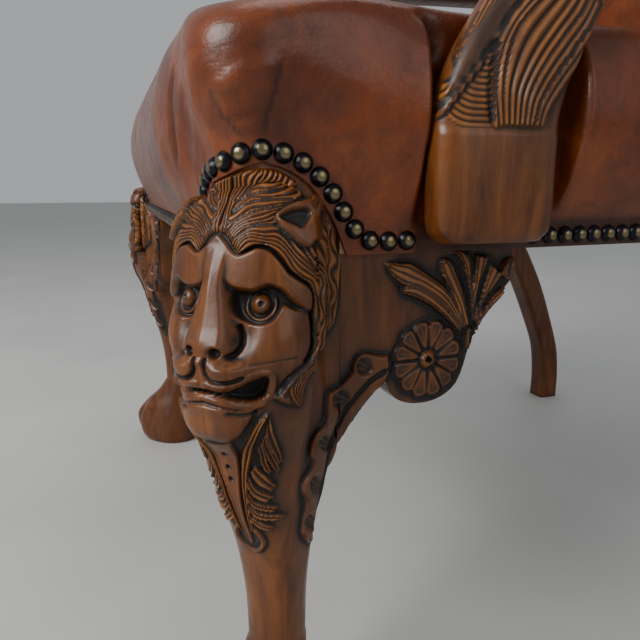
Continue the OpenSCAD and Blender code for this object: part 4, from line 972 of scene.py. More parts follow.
# Leaves as pairs of edges that run from tip to stem, with the number of flutes between them
LEAF_TIP = (86.2, 331)
LEAF_PAIRS = [
    ([LEAF_TIP, (93.8, 330.2), (102.1, 329.3), (109.6, 324.8), (118.4, 319.1), (127.5, 311.9),
    (133.6, 301.7),
      (138.8, 290.4)],
     [LEAF_TIP, (89.9, 324.4), (97.3, 318.9), (105.7, 317), (114.4, 312.7), (123.4, 306.3), (130.4, 299),
      (136.5, 290.6)], 3),
    ([(97.8, 317.5), (105.7, 317.5), (113.3, 313.2), (122.3, 306.4), (130.5, 298), (137.1, 289.5)],
     [(97.2, 314.2), (105.9, 310.9), (114.7, 306.4), (123.7, 299.5), (130.7, 293), (135.5, 287.6)], 2),
    ([(122.1, 331.2), (127.7, 329.1), (132.6, 319.3), (137.8, 307.3), (142.1, 293.1)],
     [(121.1, 330.3), (122, 323.7), (127.3, 314.8), (133.5, 303.7), (138.8, 290.4)], 2),
    ([(126.2, 335.7), (130.7, 334.6), (135.4, 328.7), (139.6, 315), (142.3, 299.1)],
     [(134.5, 336), (139, 332.6), (141.4, 326), (142.2, 313), (143, 297)], 2),
    ([(143.8, 333), (143.3, 321.6), (142.7, 309.9), (143.1, 295)],
     [(152.4, 331.4), (149.6, 322), (146.2, 309.8), (144.4, 294.9)], 2),
    ([(154, 328.4), (150.6, 318), (147.4, 306.6), (144.8, 294)],
     [(162.2, 320.9), (156, 312.4), (150.4, 303.6), (146, 292)], 2),
    ([(163.6, 313.6), (157.4, 308.8), (150.9, 301), (146.8, 292)],
     [(166.8, 307.4), (159.9, 303.9), (152.8, 296.6), (148.4, 291), (145.4, 284.8)], 2)]
STALK = [(141.6, 290), (141.4, 285), (141.2, 279)]
BALL = (167.2, 324.3)
ROSETTE = (114.7, 274.0)
ROSETTE_R = 23.4
PETALS = 12
BRACKET_EDGE = [(-2, -110), (9, -96), (18, -85), (29, -75), (33, -82), (40, -88), (51, -91), (64, -90),
                (75, -84),
                (81, -74), (87, -53), (92, -43), (101, -32), (111, -22), (115, -13), (113, -6), (112, 0)]


def on_drawing(s, z, out, drawn_at):
    """Where a point at a distance out of the side's face lies on a plane drawn_at outside it."""
    k = (VIEW_OUT - drawn_at) / (VIEW_OUT - out)
    return (s + VIEW_AHEAD) * k - VIEW_AHEAD, VIEW_Z + (z - VIEW_Z) * k


def petal_relief(c):
    """A rosette of rimmed, dished petals round a drilled boss, with its cover and its painted shade."""
    x, z = (c.X - ROSETTE[0]) * 1.05, c.Y - ROSETTE[1]
    r, a = np.hypot(x, z), np.arctan2(z, x)
    turn = np.abs((a / math.tau * PETALS) % 1 - 0.5)
    length = ROSETTE_R * (0.84 + 0.16 * np.sqrt(np.clip(1 - (2 * turn) ** 2, 0, 1)))
    pace = math.tau * np.maximum(r, 1) / PETALS
    to_side, to_end = (0.5 - turn) * pace, length - r
    to_rim = np.minimum(to_side, to_end)
    body = smooth(to_end / 1.2) * smooth((r - 5.5) / 1.5)
    rim = np.exp(-(((to_rim - 1.1) / 0.62) ** 2))
    vein = np.exp(-((turn * pace / 0.42) ** 2)) * smooth((length - 3 - r) / 3)
    lift = 1.2 + 1.4 * np.sin(np.clip(r / ROSETTE_R, 0, 1) * 2.2)
    petal = body * (lift * smooth(to_rim / 0.9) + 1.5 * rim + 0.7 * vein)
    boss = 4.8 * np.sqrt(np.clip(1 - (r / 6.0) ** 2, 0, 1)) + 0.8 * (r < 6.0)
    hole = 4.5 * smooth((2.1 - r) / 0.9)
    dish = body * 0.55 * smooth((to_rim - 2.0) / 0.8) * (1 - vein)
    gap = smooth((0.55 - to_side) / 0.4) * body
    # Painted shade in the dished petals, between them, round the boss and in its drilled hole
    dark = np.maximum.reduce([dish, gap, np.exp(-(((r - 6.7) / 0.8) ** 2)), smooth((2.3 - r) / 0.8)])
    return np.maximum(petal, boss) - hole, smooth((length + 1.5 - r) / 1.5), dark * (r < length)


def ribbon_relief(c, dark):
    """The scrolled ribbon with veined hollows, and the smooth strip outside it, with painted shade in the
    hollows, in the gap along the strip and on the ground beside the ribbon.
    """
    body = c.region([*RIBBON, *STRIP[::-1]], 3.0)
    form = 3.8 * smooth(body * 1.05)
    for x0, z0, rx, rz in HOLLOWS:
        q = ((c.X - x0) / rx) ** 2 + ((c.Y - z0) / rz) ** 2
        dish = smooth((1 - q) / 0.75) * smooth(body * 2)
        spread = np.arctan2(c.Y - z0 + 0.7 * rz, c.X - x0 - 1.6 * rx)
        veins = 0.5 + 0.5 * np.cos(spread * 24)
        form -= dish * (3.0 - 1.2 * veins)
        # Painted shade in the hollows, lighter on their veins
        np.maximum(dark, dish * (0.8 - 0.45 * veins), out=dark)
    strip = c.region([*STRIP, *EDGE_LINE[::-1]], 2.2)
    form = np.maximum(form, 2.2 * smooth(strip * 1.1))
    gap = c.layer()
    c.stroke(gap, STRIP, 1.5, 2.4, SOFT, 0.04)
    # Painted shade in the gap along the strip
    np.maximum(dark, np.clip(gap / 2.0, 0, 1), out=dark)
    shade = blur((body > 0.2).astype(float), 6) * (body < 0.1) * (strip < 0.1)
    np.maximum(dark, 0.85 * smooth(shade * 2.4), out=dark)
    return form - gap


def side_chart():
    """Relief of the side face, as [distance behind the front corner, height]."""
    c = Relief((26, 182), (158, 345))
    dark = c.layer()
    form = ribbon_relief(c, dark)
    leaves = c.layer()
    for first, last, flutes in LEAF_PAIRS:
        c.strands(leaves, first, last, flutes, 1.5, True, 2.2)
    c.stroke(leaves, STALK, 2.2, 3.4, SOFT)
    ball = np.hypot(c.X - BALL[0], c.Y - BALL[1])
    slit = np.exp(-(((c.X - BALL[0] - 0.6) / 0.8) ** 2)) * (ball < 5)
    curl = 4.6 * np.sqrt(np.clip(1 - (ball / 6.4) ** 2, 0, 1)) - 2.2 * slit
    form = np.maximum.reduce([form, leaves, curl])
    rosette, cover, petal_dark = petal_relief(c)
    near = blur((form > 1.6).astype(float), 10) + blur((cover > 0.5).astype(float), 8)
    form = form * (1 - cover) + np.maximum(rosette, 0.2) * cover
    rim = [(STILE + x, RAIL_BOTTOM + z) for x, z in BRACKET_EDGE]
    border = c.layer()
    c.stroke(border, rim[7:], 1.5, 1.3, SOFT, 0.05)
    ground = smooth((c.X - 84) / 6) * (form < 0.5)
    dark = dark * (1 - cover)
    # Painted shade on the ground close to the leaves, the ribbon and the rosette
    np.maximum(dark, 0.85 * smooth(near * 1.9) * ground, out=dark)
    np.maximum(dark, petal_dark * cover, out=dark)
    np.maximum(dark, slit, out=dark)
    c.ridged[cover > 0.2] = 0
    c.ridged[leaves < 1.6] = 0
    c.height = np.maximum(form, border) - 1.3 * smooth((c.X - 88) / 10) * (form < 0.4)
    c.height = blur(c.height, 1)
    # Stain and painted shade where the carving lies below what is around it, with the painted shade drawn
    # above
    c.cavity = np.maximum(c.hollows(), dark)
    return c


def beside_leg(z):
    """Distance behind the front corner at which the leg's stile ends, at a height."""
    return STILE - HALF + np.minimum(curve(z, STILE_HALF), HALF)


def side_place(s, out, z):
    """Place on the side's drawing of a point whose ground is at a distance out of the side's face."""
    lift = SIDE.sample(SIDE.height, *on_drawing(s, z, out, DRAWN_AT))
    return on_drawing(s, z, out + lift, DRAWN_AT)


MASK = mask_chart()
SIDE = side_chart()


# Front leg
def leg_heights():
    """Heights of the leg's rings of points: close where the carving is fine."""
    paw = np.concatenate([[0.0, 1.0], np.arange(3, ANKLE, 3.6)])
    shin = np.arange(ANKLE, 163, 4.0)
    low = np.arange(163, 262, 0.8)
    mane = np.arange(262, 391.5, 0.66)
    return np.concatenate([paw, shin, low, mane, [394, 398, RAIL_TOP]])


def settled(r, phi, h):
    """Brings the mask's back edge down to the side's face, where the bracket meets it."""
    lean = np.cos(np.abs(phi) - EIGHTH)
    s = HALF + r * np.sin(np.abs(phi) - EIGHTH)
    allowed = 0.6 + 8 * smooth((59 - s) / 15)
    limit = (HALF + allowed) / np.maximum(lean, 0.3)
    flank = (np.abs(phi) > math.radians(55)) & (np.abs(phi) < RIGHT_ANGLE + 0.01) & (h > 215)
    return np.where(flank, np.minimum(r, limit), r)


# Where a place behind the leg or the seat counts as lying along the carving or folds: beyond them all
BEHIND = 999.0


def leg_surface():
    """Grid of the carved leg: columns run round from the left side's back edge over the mask."""
    heights = leg_heights()
    grid, arcs, angles = [], [], []
    for h in heights:
        front, at, rear = leg_columns(h, 112, 14, 7)
        phi = np.concatenate([-rear[::-1][1:], -front[::-1], front[1:], rear])
        arc = np.concatenate([np.full(len(rear) - 1, -BEHIND), -at[::-1], at[1:], np.full(len(rear), BEHIND)])
        hh = np.full_like(phi, h)
        low = h < ANKLE
        r = paw_radius(phi, hh) if low else settled(leg_radius(phi, hh)[0], phi, hh)
        c = curve(h, PAW_CENTRE) if low else 0.0
        grid.append((c + r * np.cos(phi))[:, None] * OUT + (r * np.sin(phi))[:, None] * ALONG + [0, 0, h])
        arcs.append(arc)
        angles.append(phi)
    return np.array(grid) + STILE_AT, np.array(arcs), np.array(angles), heights


def carve_leg(P, arcs, angles, heights):
    """Height, painted shade and stain, and strands of the carving at each point of the leg."""
    h = np.repeat(heights[:, None], P.shape[1], axis=1)
    share = leg_radius(angles, h)[1] * (h > 150)
    a = np.clip(np.abs(arcs), 0, 91)
    face = MASK.sample(MASK.height, a, h) * share * smooth((92 - np.abs(arcs)) / 8)
    face_dark = MASK.sample(MASK.cavity, a, h) * smooth(share * 3)
    r = np.hypot((P - STILE_AT) @ ALONG, (P - STILE_AT) @ OUT)
    proud = r * np.cos(np.abs(angles) - EIGHTH) - HALF
    s, z = side_place(HALF + r * np.sin(np.abs(angles) - EIGHTH), proud, h)
    flank = smooth((np.abs(angles) - math.radians(47)) / 0.1) * (np.abs(arcs) < BEHIND) * (h > 160)
    side = SIDE.sample(SIDE.height, s, z) * flank
    on_side_face = np.abs(side) > np.abs(face)
    relief = np.where(on_side_face, side, face)
    dark = np.maximum(SIDE.sample(SIDE.cavity, s, z) * flank, face_dark)
    strand, ridged = MASK.strand_at(a, h)
    ridged = ridged * (share > 0.25) * (np.abs(arcs) < 90) * ~(on_side_face & (side > 1.0))
    return relief, dark, strand, ridged


def front_leg():
    """The carved front legs: the left one and its mirrored twin."""
    P, arcs, angles, heights = leg_surface()
    normals = grid_normals(P)
    relief, dark, strand, ridged = carve_leg(P, arcs, angles, heights)
    flat = smooth((np.abs(angles) - math.radians(66)) / 0.2) * (np.abs(arcs) < BEHIND)
    flat = flat * smooth((heights[:, None] - 222) / 14)
    side = np.where(angles[..., None] > 0, [math.cos(TAPER), math.sin(TAPER), 0.0], [0.0, -1.0, 0.0])
    normals = normals * (1 - flat[..., None]) + side * flat[..., None]
    Q = P + normals * relief[..., None]
    level = heights > 385
    Q[level] = P[level] + (Q - P)[level] * [1, 1, 0]
    mesh = closed_skin("front_leg_left", Q, carved(dark, strand, ridged))
    both_sides("lion_leg", mesh, WOOD, "front_leg")


front_leg()


# Brackets: scrolled ears under the rails, carved on the face and on their rounded edge
BRACKET_T = 24.0


def on_side(s, out, z):
    """Points by distance behind the front corner, distance out of the side's face, and height."""
    x = SEAT_W / 2 - s * math.sin(TAPER) + out * math.cos(TAPER)
    y = FRONT_Y + s * math.cos(TAPER) + out * math.sin(TAPER)
    return np.stack(np.broadcast_arrays(x, y, z), axis=-1)


def on_front(s, out, z):
    """Points by distance from the front corner, distance out of the front's face, and height."""
    return np.stack(np.broadcast_arrays(SEAT_W / 2 - s, FRONT_Y - out, z), axis=-1)


def bracket_outline():
    """Closed outline of a bracket: its scrolled edge, the rail above it and the leg beside it."""
    line = through([(STILE + x, RAIL_BOTTOM + z) for x, z in BRACKET_EDGE], 230)
    line = line[line[:, 0] > beside_leg(line[:, 1]) + 0.05]
    closing = [[x, RAIL_BOTTOM] for x in np.arange(line[-1, 0] - 1, STILE, -1.0)]
    back = [[beside_leg(z) - 0.2, z] for z in np.arange(RAIL_BOTTOM, line[0, 1] + 0.4, -1.0)]
    return np.array([*line, *closing, *back])


def flat_mesh(outline, spacing):
    """Triangles that fill an outline with an even grid of points inside."""
    low, high = outline.min(axis=0), outline.max(axis=0)
    xs, ys = np.arange(low[0], high[0], spacing), np.arange(low[1], high[1], spacing)
    X, Y = np.meshgrid(xs, ys)
    X[::2] += spacing / 2
    near = np.full(X.shape, 1e9)
    for x0, y0 in outline:
        near = np.minimum(near, np.hypot(X - x0, Y - y0))
    inner = np.stack([X, Y], axis=-1)[enclosed(X, Y, outline) & (near > spacing * 0.6)]
    points = [Vector(p) for p in np.vstack([outline, inner])]
    n = len(outline)
    edges = [(i, (i + 1) % n) for i in range(n)]
    flat, _, faces, *_ = delaunay_2d_cdt(points, edges, [list(range(n))], 1, 1e-5)
    return np.array([[*p] for p in flat]), np.array([f for f in faces if len(f) == 3])


def bracket_face(outline, s, z):
    """Height, painted shade and stain, and strands of a bracket's carved face, with its scrolled edge rounded
    over.
    """
    ground = (beside_leg(z) - STILE) * (1 - smooth((s - STILE) / 12))
    drawn = side_place(s, ground, z)
    free = (outline[:, 0] > beside_leg(outline[:, 1]) + 0.2) & (outline[:, 1] < RAIL_BOTTOM - 0.5)
    rim = np.full(len(s), 9.0)
    for x0, z0 in outline[free]:
        rim = np.minimum(rim, np.hypot(s - x0, z - z0))
    fall = np.clip(1 - rim / 1.6, 0, 1)
    height = ground + SIDE.sample(SIDE.height, *drawn) - 1.3 * (1 - np.sqrt(1 - fall**2))
    return height, SIDE.sample(SIDE.cavity, *drawn), SIDE.strand_at(*drawn)


def bracket_mesh(name, place, flip):
    """A bracket: its carved face, its rounded edge and its plain back."""
    outline = bracket_outline()
    flat, faces = flat_mesh(outline, 0.8)
    n, total = len(outline), len(flat)
    height, dark, strands = bracket_face(outline, flat[:, 0], flat[:, 1])
    inward = outline - outline.mean(axis=0)
    inward /= np.linalg.norm(inward, axis=1)[:, None]
    inward = inward * (outline[:, :1] > STILE + 0.5) * (outline[:, 1:] < RAIL_BOTTOM - 1)
    points, quads, ring = [place(flat[:, 0], height, flat[:, 1])], [], np.arange(n)
    for depth in (-3, -7, -12, -17, -21, -BRACKET_T):
        moved = outline + inward * 0.5 * math.sin(math.pi * -depth / BRACKET_T)
        points.append(place(moved[:, 0], np.minimum(depth, height[:n]), moved[:, 1]))
        now = np.arange(n) + total
        quads.append(np.stack([ring, np.roll(ring, -1), np.roll(now, -1), now], axis=1))
        ring, total = now, total + n
    points = np.vstack([*points, place(flat[n:, 0], -BRACKET_T, flat[n:, 1])])
    back = np.concatenate([ring, np.arange(len(flat) - n) + total])[faces][:, ::-1]
    quads, tris = np.vstack(quads), np.vstack([faces, back])
    if flip:
        quads, tris = quads[:, ::-1], tris[:, ::-1]
    spare = len(points) - len(flat)
    values = {key: np.pad(value, (0, spare)) for key, value in carved(dark, *strands).items()}
    return build_mesh(name, points, quads, tris, values)


def brackets():
    """The four brackets, each in place of its own node."""
    both_sides("side_ear", bracket_mesh("side_ear", on_side, True), WOOD, "side_bracket")
    both_sides("front_ear", bracket_mesh("front_ear", on_front, False), WOOD, "front_bracket")


brackets()

# Arm supports: carved blocks outside the seat that sweep back to the arms
SUPPORT_S, WAIST_S = 141.0, 228.0
SUPPORT_W, WAIST_W = 74.0, 27.0
SUPPORT_T, WAIST_T = 28.0, 24.0
SUPPORT_IN, WAIST_OUT = 2.6, 28.0
SUPPORT_Z = (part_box("arm_support_left")[0].z / MM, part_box("arm_support_left")[1].z / MM)
SWEEP_BACK = [[0, 0], [0.21, 0], [0.294, 0.07], [0.394, 0.24], [0.527, 0.49], [0.727, 0.79], [0.861, 0.93],
              [0.954, 1], [1, 1]]
BROAD = [[0, 0.7], [0.02, 0.94], [0.06, 1], [0.294, 1], [0.394, 0.92], [0.527, 0.66], [0.727, 0.25],
         [0.861, 0.06], [0.954, 0], [1, 0.15]]


# Lines of its carving as the photograph shows them on a plane CARVED_AT outside the side's face
CARVED_AT = 31.5
BAND_TOP = [(95.6, 405.4), (103.9, 413.3), (112.7, 422.9), (120.7, 432.4), (127.6, 441.9), (134.7, 451.5),
            (139.9, 459.4)]
BAND_LOW = [(96.6, 403.5), (102.4, 406.4), (113, 419.1), (120.9, 428.6), (125.1, 437.2), (129.5, 442.8)]
RIB_FOOT = [(102.5, 405.6), (107.3, 402.3), (115, 400.2), (129.7, 400.2)]
RIB_HEAD = [(127.6, 441), (128.4, 441.8), (129.3, 442.6)]
FLOW_EDGE = [(96, 440), (100, 446), (106, 455), (112, 466), (122, 482)]
FLOW_OUT = [(107.9, 425.6), (107.9, 433.1), (110.7, 440.7), (115.7, 449.9), (119.9, 457.6), (126, 468),
            (136, 484)]
FLOW_IN = [(107.4, 418), (113.5, 425.2), (120.6, 433.9), (126.6, 442.6), (132.7, 451.3), (138.4, 459.6),
           (146, 470), (156, 486)]
OVAL = (100.9, 427.8)
OVAL_RIM_IN = [(106.4, 435.9), (106.4, 427.8), (100.8, 420.7), (95.4, 418.2)]
OVAL_RIM_OUT = [(108.7, 436.1), (108.4, 425.6), (103.8, 415.6), (96.2, 410.7)]
FANS = [[(130.2, 400.2), (127.4, 412), (126.7, 421.3), (127.3, 432.8), (130.5, 442.9), (136.5, 452.4),
         (142.8, 460), (156, 474), (170, 492)],
        [(135.9, 402), (134.2, 420.1), (136, 434.9), (140.9, 447.5), (148, 456.4), (162, 470), (177, 490)],
        [(142.3, 402), (142.4, 417.4), (146.6, 429.1), (152.6, 440), (161, 451), (172, 465), (184, 486)],
        [(148.4, 402), (149.7, 414.5), (154, 425), (160.4, 435), (169, 446), (180, 460), (190, 481)],
        [(154.6, 402), (156.6, 412), (161.4, 421), (168.4, 430.6), (177, 441), (187, 455), (196, 476)],
        [(161, 402), (163.6, 410), (169, 418), (176, 427), (184, 437), (193, 450), (201, 470)]]


def support_chart():
    """Relief of a support's outer face, as [distance behind the front corner, height]."""
    c = Relief((84, 262), (338, 646))
    lines = c.layer()
    dark = c.layer()
    for first, last in zip(FANS[:-1], FANS[1:]):
        c.strands(lines, first, last, 2, 1.5, base=0.9)
    c.strands(lines, FLOW_OUT, FLOW_IN, 6, 1.2, base=0.6)
    c.strands(lines, FLOW_EDGE, FLOW_OUT[2:], 3, 1.2, base=0.2)
    c.strands(lines, OVAL_RIM_IN, OVAL_RIM_OUT, 2, 1.3, base=1.0)
    c.strands(lines, RIB_FOOT, RIB_HEAD, 14, 1.1, base=-0.8)
    band = c.region([*BAND_TOP, *BAND_LOW[::-1]], 2.0)
    raised = 3.2 * smooth(band * 1.1)
    c.ridged[band > 0.2] = 0
    edges = c.layer()
    for line in (BAND_LOW, BAND_TOP[:5], FANS[0]):
        c.stroke(edges, line, 0.9, 1.6, SOFT, 0.05)
    oval = np.hypot((c.X - OVAL[0]) / 4.6, (c.Y - OVAL[1]) / 6.4)
    dome = 3.6 * np.sqrt(np.clip(1 - oval**2, 0, 1))
    c.ridged[oval < 1] = 0
    sweeps = c.layer()
    for k in range(5):
        x = 150 + 10 * k
        sweep = [(x, 494 + 9 * k), (x + 16, 524 + 10 * k), (x + 23, 566 + 8 * k)]
        c.stroke(sweeps, sweep, 3.2, 1.9, SOFT, 0.25)
    # Painted shade along the cut edges of the band and round the oval dome
    np.maximum(dark, np.clip(edges / 1.5, 0, 1), out=dark)
    np.maximum(dark, np.exp(-(((oval - 1.08) / 0.16) ** 2)), out=dark)
    c.height = blur(np.maximum.reduce([lines, raised, dome, sweeps]) - edges, 1)
    # Stain and painted shade where the carving lies below what is around it
    c.cavity = np.maximum(c.hollows(2.2, 1.2), dark)
    return c


def support_rows():
    """Places of the support's rings as shares of its height: close where the carving is fine."""
    z0, z1 = SUPPORT_Z
    low_part = np.arange(z0 + 2, z0 + 150, 0.8)
    top_part = np.linspace(z0 + 150, z1, 120)
    return (np.concatenate([[z0, z0 + 0.3, z0 + 1], low_part, top_part[1:]]) - z0) / (z1 - z0)


def support_ring(u, a):
    """Plain ring at a share u of the height: distances behind the corner and out of the side's face."""
    s = SUPPORT_S + (WAIST_S - SUPPORT_S) * curve(u, SWEEP_BACK)
    half_s = (WAIST_W + (SUPPORT_W - WAIST_W) * curve(u, BROAD)) / 2
    lean = max(0, (u - 0.21) / 0.79)
    half_o = (SUPPORT_T + (WAIST_T - SUPPORT_T) * lean) / 2
    out = SUPPORT_IN + SUPPORT_T / 2 + (WAIST_OUT - SUPPORT_IN - SUPPORT_T / 2) * lean
    rounded = math.sqrt(max(1 - (1 - u / 0.03) ** 2, 0.0)) if u < 0.03 else 1.0
    flat = 0.82 + 0.18 * rounded
    r = power_radius(np.cos(a), np.sin(a), half_o * flat, half_s, 3.4)
    return s + r * np.sin(a), out - half_o * (1 - flat) + r * np.cos(a)


def support_surface():
    """Rings of the carved support, with the attributes of its carving."""
    chart = support_chart()
    z0, z1 = SUPPORT_Z
    a = np.linspace(0, math.tau, 241)[:-1]
    a = a - 0.45 * np.sin(2 * a)
    grid, values = [], {"cavity": [], "edge": [], "strand": [], "ridged": []}
    for u in support_rows():
        z = z0 + (z1 - z0) * u
        s, o = support_ring(u, a)
        x, y = on_drawing(s, np.full_like(s, z), o, CARVED_AT)
        facing = smooth((np.cos(a) + 0.1) / 0.25) * smooth((z - 397) / 5)
        lift = chart.sample(chart.height, x, y) * facing
        dark = chart.sample(chart.cavity, x, y) * facing
        strand, ridged = chart.strand_at(x, y)
        grid.append(on_side(s, o + lift * np.maximum(np.cos(a), 0) ** 0.3 - 1.2 * facing, z))
        for key, value in carved(dark, strand, ridged * (facing > 0.5)).items():
            values[key].append(value)
    return np.array(grid), {key: np.array(value) for key, value in values.items()}


def supports():
    """The carved arm supports: the left one and its mirrored twin."""
    P, values = support_surface()
    mesh = closed_skin("arm_support", P, values)
    both_sides("carved_support", mesh, WOOD, "arm_support")


supports()

# Cushions: rings of stations round the frame, swelling from a nailed hem and domed over the top
LEATHER = 2.0
GAP = 0.3
CROWN_H = 80.0
FRONT_SWELL, SIDE_SWELL = 20.0, 22.0
SEAT_EDGE = RAIL_TOP + 53
REAR_S = SEAT_D - REAR_LEG_T + RAIL_T
NAIL_BAND = 13.0
WALL = [[-1, 0], [-0.5, 0], [0, 0.02], [0.15, 0.34], [0.3, 0.68], [0.54, 1], [0.78, 0.86], [1, 0.3]]
DOME = [0.965, 0.93, 0.87, 0.8, 0.68, 0.55, 0.4, 0.25, 0.12]


def corner_calm(d):
    """Share of the full swell at a distance d from a front corner."""
    return 0.3 + 0.7 * smooth((d - 40) / 90)


def band_at(d):
    """Height of the flat band at the hem, which is taller where the arch over the mask ends."""
    return NAIL_BAND + 14 * (1 - smooth(np.abs(d - ARCH_W - 4) / 26))


def corner_drop(d):
    """How much lower the seat's top edge stands near a front corner."""
    return 14 * (1 - smooth(d / 70))


def beside_support(s):
    """Share of the swelling that is left beside the arm support: 1 away from it."""
    return 1 - smooth((SUPPORT_W / 2 + 12 - np.abs(s - SUPPORT_S - 8)) / 5)


def stations(*columns):
    """Rows of a stations table from its columns: a plain number holds all the way down."""
    return np.stack(np.broadcast_arrays(*columns), axis=1)


def both_halves(half):
    """Stations all the way round from those of one half, which the other mirrors."""
    return np.vstack([half, half[-2:0:-1] * [-1, 1, -1, 1, 1, 1, 1, 1]])


def seat_stations(fine, coarse):
    """Stations [x, y, normal x, normal y, hem, swell, drop, band] round the seat, close at the corners."""
    front_edge = SEAT_W / 2 - CORNER_R
    xs = np.concatenate([np.arange(0, 130, coarse), np.arange(130, front_edge, fine)])
    turn = np.linspace(0, RIGHT_ANGLE, max(int(34.5 / fine), 4), endpoint=False)
    ss = np.concatenate([np.arange(CORNER_R, 270, fine), np.arange(270, REAR_S, coarse)])
    back = np.linspace(half_at(REAR_S), 0, max(int(290 / coarse), 3))
    d = SEAT_W / 2 - xs
    front = stations(xs, FRONT_Y, 0.0, -1.0, hem_at(d, FRONT_DIP), FRONT_SWELL * corner_calm(d),
                     corner_drop(d), band_at(d))
    s = CORNER_R * (1 - np.cos(turn))
    swell = (FRONT_SWELL * np.cos(turn) + SIDE_SWELL * np.sin(turn)) * 0.36
    corner = stations(np.minimum(front_edge + CORNER_R * np.sin(turn), half_at(s)), FRONT_Y + s,
                      np.sin(turn), -np.cos(turn), hem_at(CORNER_R * 0.43, dip_at(turn)),
                      swell, corner_drop(0), NAIL_BAND)
    calm = corner_calm(ss) * beside_support(ss) * smooth((REAR_FACE - FRONT_Y - ss + 50) / 120)
    low = 14 * smooth((ss - 0.7 * SEAT_D) / (0.25 * SEAT_D)) + corner_drop(ss)
    side = stations(half_at(ss), FRONT_Y + ss, math.cos(TAPER), math.sin(TAPER), hem_at(ss),
                    SIDE_SWELL * calm, low, band_at(ss))
    rear = stations(back, FRONT_Y + REAR_S, 0.0, 1.0, HEM_Z, 2.0, 14.0, NAIL_BAND)
    return both_halves(np.vstack([front, corner, side, rear]))


def cushion_rings(st, mid, top, crown):
    """Rings of points up the wall of a cushion and over its dome, from stations round its foot."""
    rings = []
    x, y, nx, ny, hem, swell, drop, band = st.T
    for height, bulge in WALL:
        out = GAP + LEATHER + swell * bulge
        base = hem + band
        z = hem + band * (height + 1) if height < 0 else base + (top - drop - base) * height
        rings.append(np.stack([x + nx * out, y + ny * out, z], axis=1))
    for rho in DOME:
        z = top - drop * rho + (crown - top) * (1 - rho**4)
        rings.append(np.stack([x * rho, mid + (y - mid) * rho, z], axis=1))
    rings.append(np.stack([x * 0, y * 0 + mid, y * 0 + crown], axis=1))
    return np.array(rings)


def loft(rings, at):
    """Smooth rows between rings, at places counted in rings."""
    n = len(rings) - 1
    i = np.minimum(at.astype(int), n - 1)
    u = (at - i)[:, None, None]
    a, b = rings[np.maximum(i - 1, 0)], rings[i]
    c, d = rings[i + 1], rings[np.minimum(i + 2, n)]
    return b + u * (c - a) / 2 + u**2 * (a - 2.5 * b + 2 * c - d / 2) + u**3 * (1.5 * (b - c) + (d - a) / 2)


def row_places(rings, wall_step, dome_step):
    """Places for loft() so that rows are a chosen distance apart on the wall and on the dome."""
    dense = np.linspace(0, len(rings) - 1, 60 * len(rings))
    line = loft(rings, dense)
    run = np.linalg.norm(np.diff(line, axis=0), axis=2).max(axis=1)
    step = np.where(dense[1:] < len(WALL) + 1, wall_step, dome_step)
    count = np.concatenate([[0], np.cumsum(run / step)])
    return np.interp(np.arange(0, count[-1], 1.0), count, dense)


def cushion_mesh(name, P, painted_shade, lip):
    """Leather skin over rows of points, with a turned-in hem and a closed middle."""
    rows, cols = P.shape[:2]
    points = np.vstack([lip, P.reshape(-1, 3), P[-1].mean(axis=0)])
    quads = grid_faces(rows + 1, cols)
    tris = fan_faces(np.arange(cols) + rows * cols, (rows + 1) * cols)
    values = np.concatenate([np.zeros(cols), painted_shade.ravel(), [0.0]])
    return build_mesh(name, points, quads, tris, {"painted_shade": values})


# Folds of the leather at a front corner, as [distance round the corner from its middle, height]
FLAP = [(8.7, 393.8), (3, 398.2), (-1, 405.6), (-1.8, 414), (2.9, 417.7), (7.1, 421.4), (10.7, 424),
        (14.8, 426.2),
        (19.6, 426.6), (19.3, 419.5), (17.2, 411.1), (15.7, 403.2), (14.8, 396.5)]
FLAP_TOP = [(0, 415.6), (2.9, 417.7), (7.1, 421.4), (10.7, 424), (14.8, 426.2), (18.6, 426.1)]
PLEATS = [[(-1.8, 417), (-1.8, 411), (-1, 405.6), (3, 398.2), (8.7, 393.8)],
          [(20.4, 428), (19.3, 419.5), (17.2, 411.1), (15.7, 403.2), (14.8, 395)]]
# Creases: their line, half width, depth and share of painted shade
CREASES = [([(-70.4, 442), (-76.2, 431.5), (-78.8, 421.3), (-79.1, 408), (-84.9, 381.2)], 3.2, 2.4, 0.8),
           ([(-46.6, 426.5), (-51.9, 412.7), (-58.3, 397.2), (-68.8, 380.9)], 6, 2.2, 0.3),
           ([(-8.4, 425.5), (-6.7, 414.5), (-6.2, 403.2), (-5, 392.2)], 4.5, 1.8, 0.3),
           ([(108, 448.2), (105.6, 435.9)], 2.6, 1.8, 0.6),
           ([(93.8, 456.5), (100.7, 453.8), (105.2, 445.6)], 3, 2.2, 0.5),
           ([(31.9, 403.4), (46.7, 408.3), (61.2, 410.9)], 7, 1.4, 0.1),
           ([(23.4, 394), (23.6, 406)], 3, 1.0, 0.15), ([(55, 378), (63.2, 388)], 3, 1.0, 0.15),
           ([(-30, 384), (-36, 398)], 3.2, 1.0, 0.15), ([(38, 388), (43, 399)], 3, 0.9, 0.15),
           ([(-100, 352), (-103, 372), (-100, 396)], 7, 1.5, 0.15), ([(84, 356), (88, 376), (92, 396)],
           5, 1.3, 0.15)]


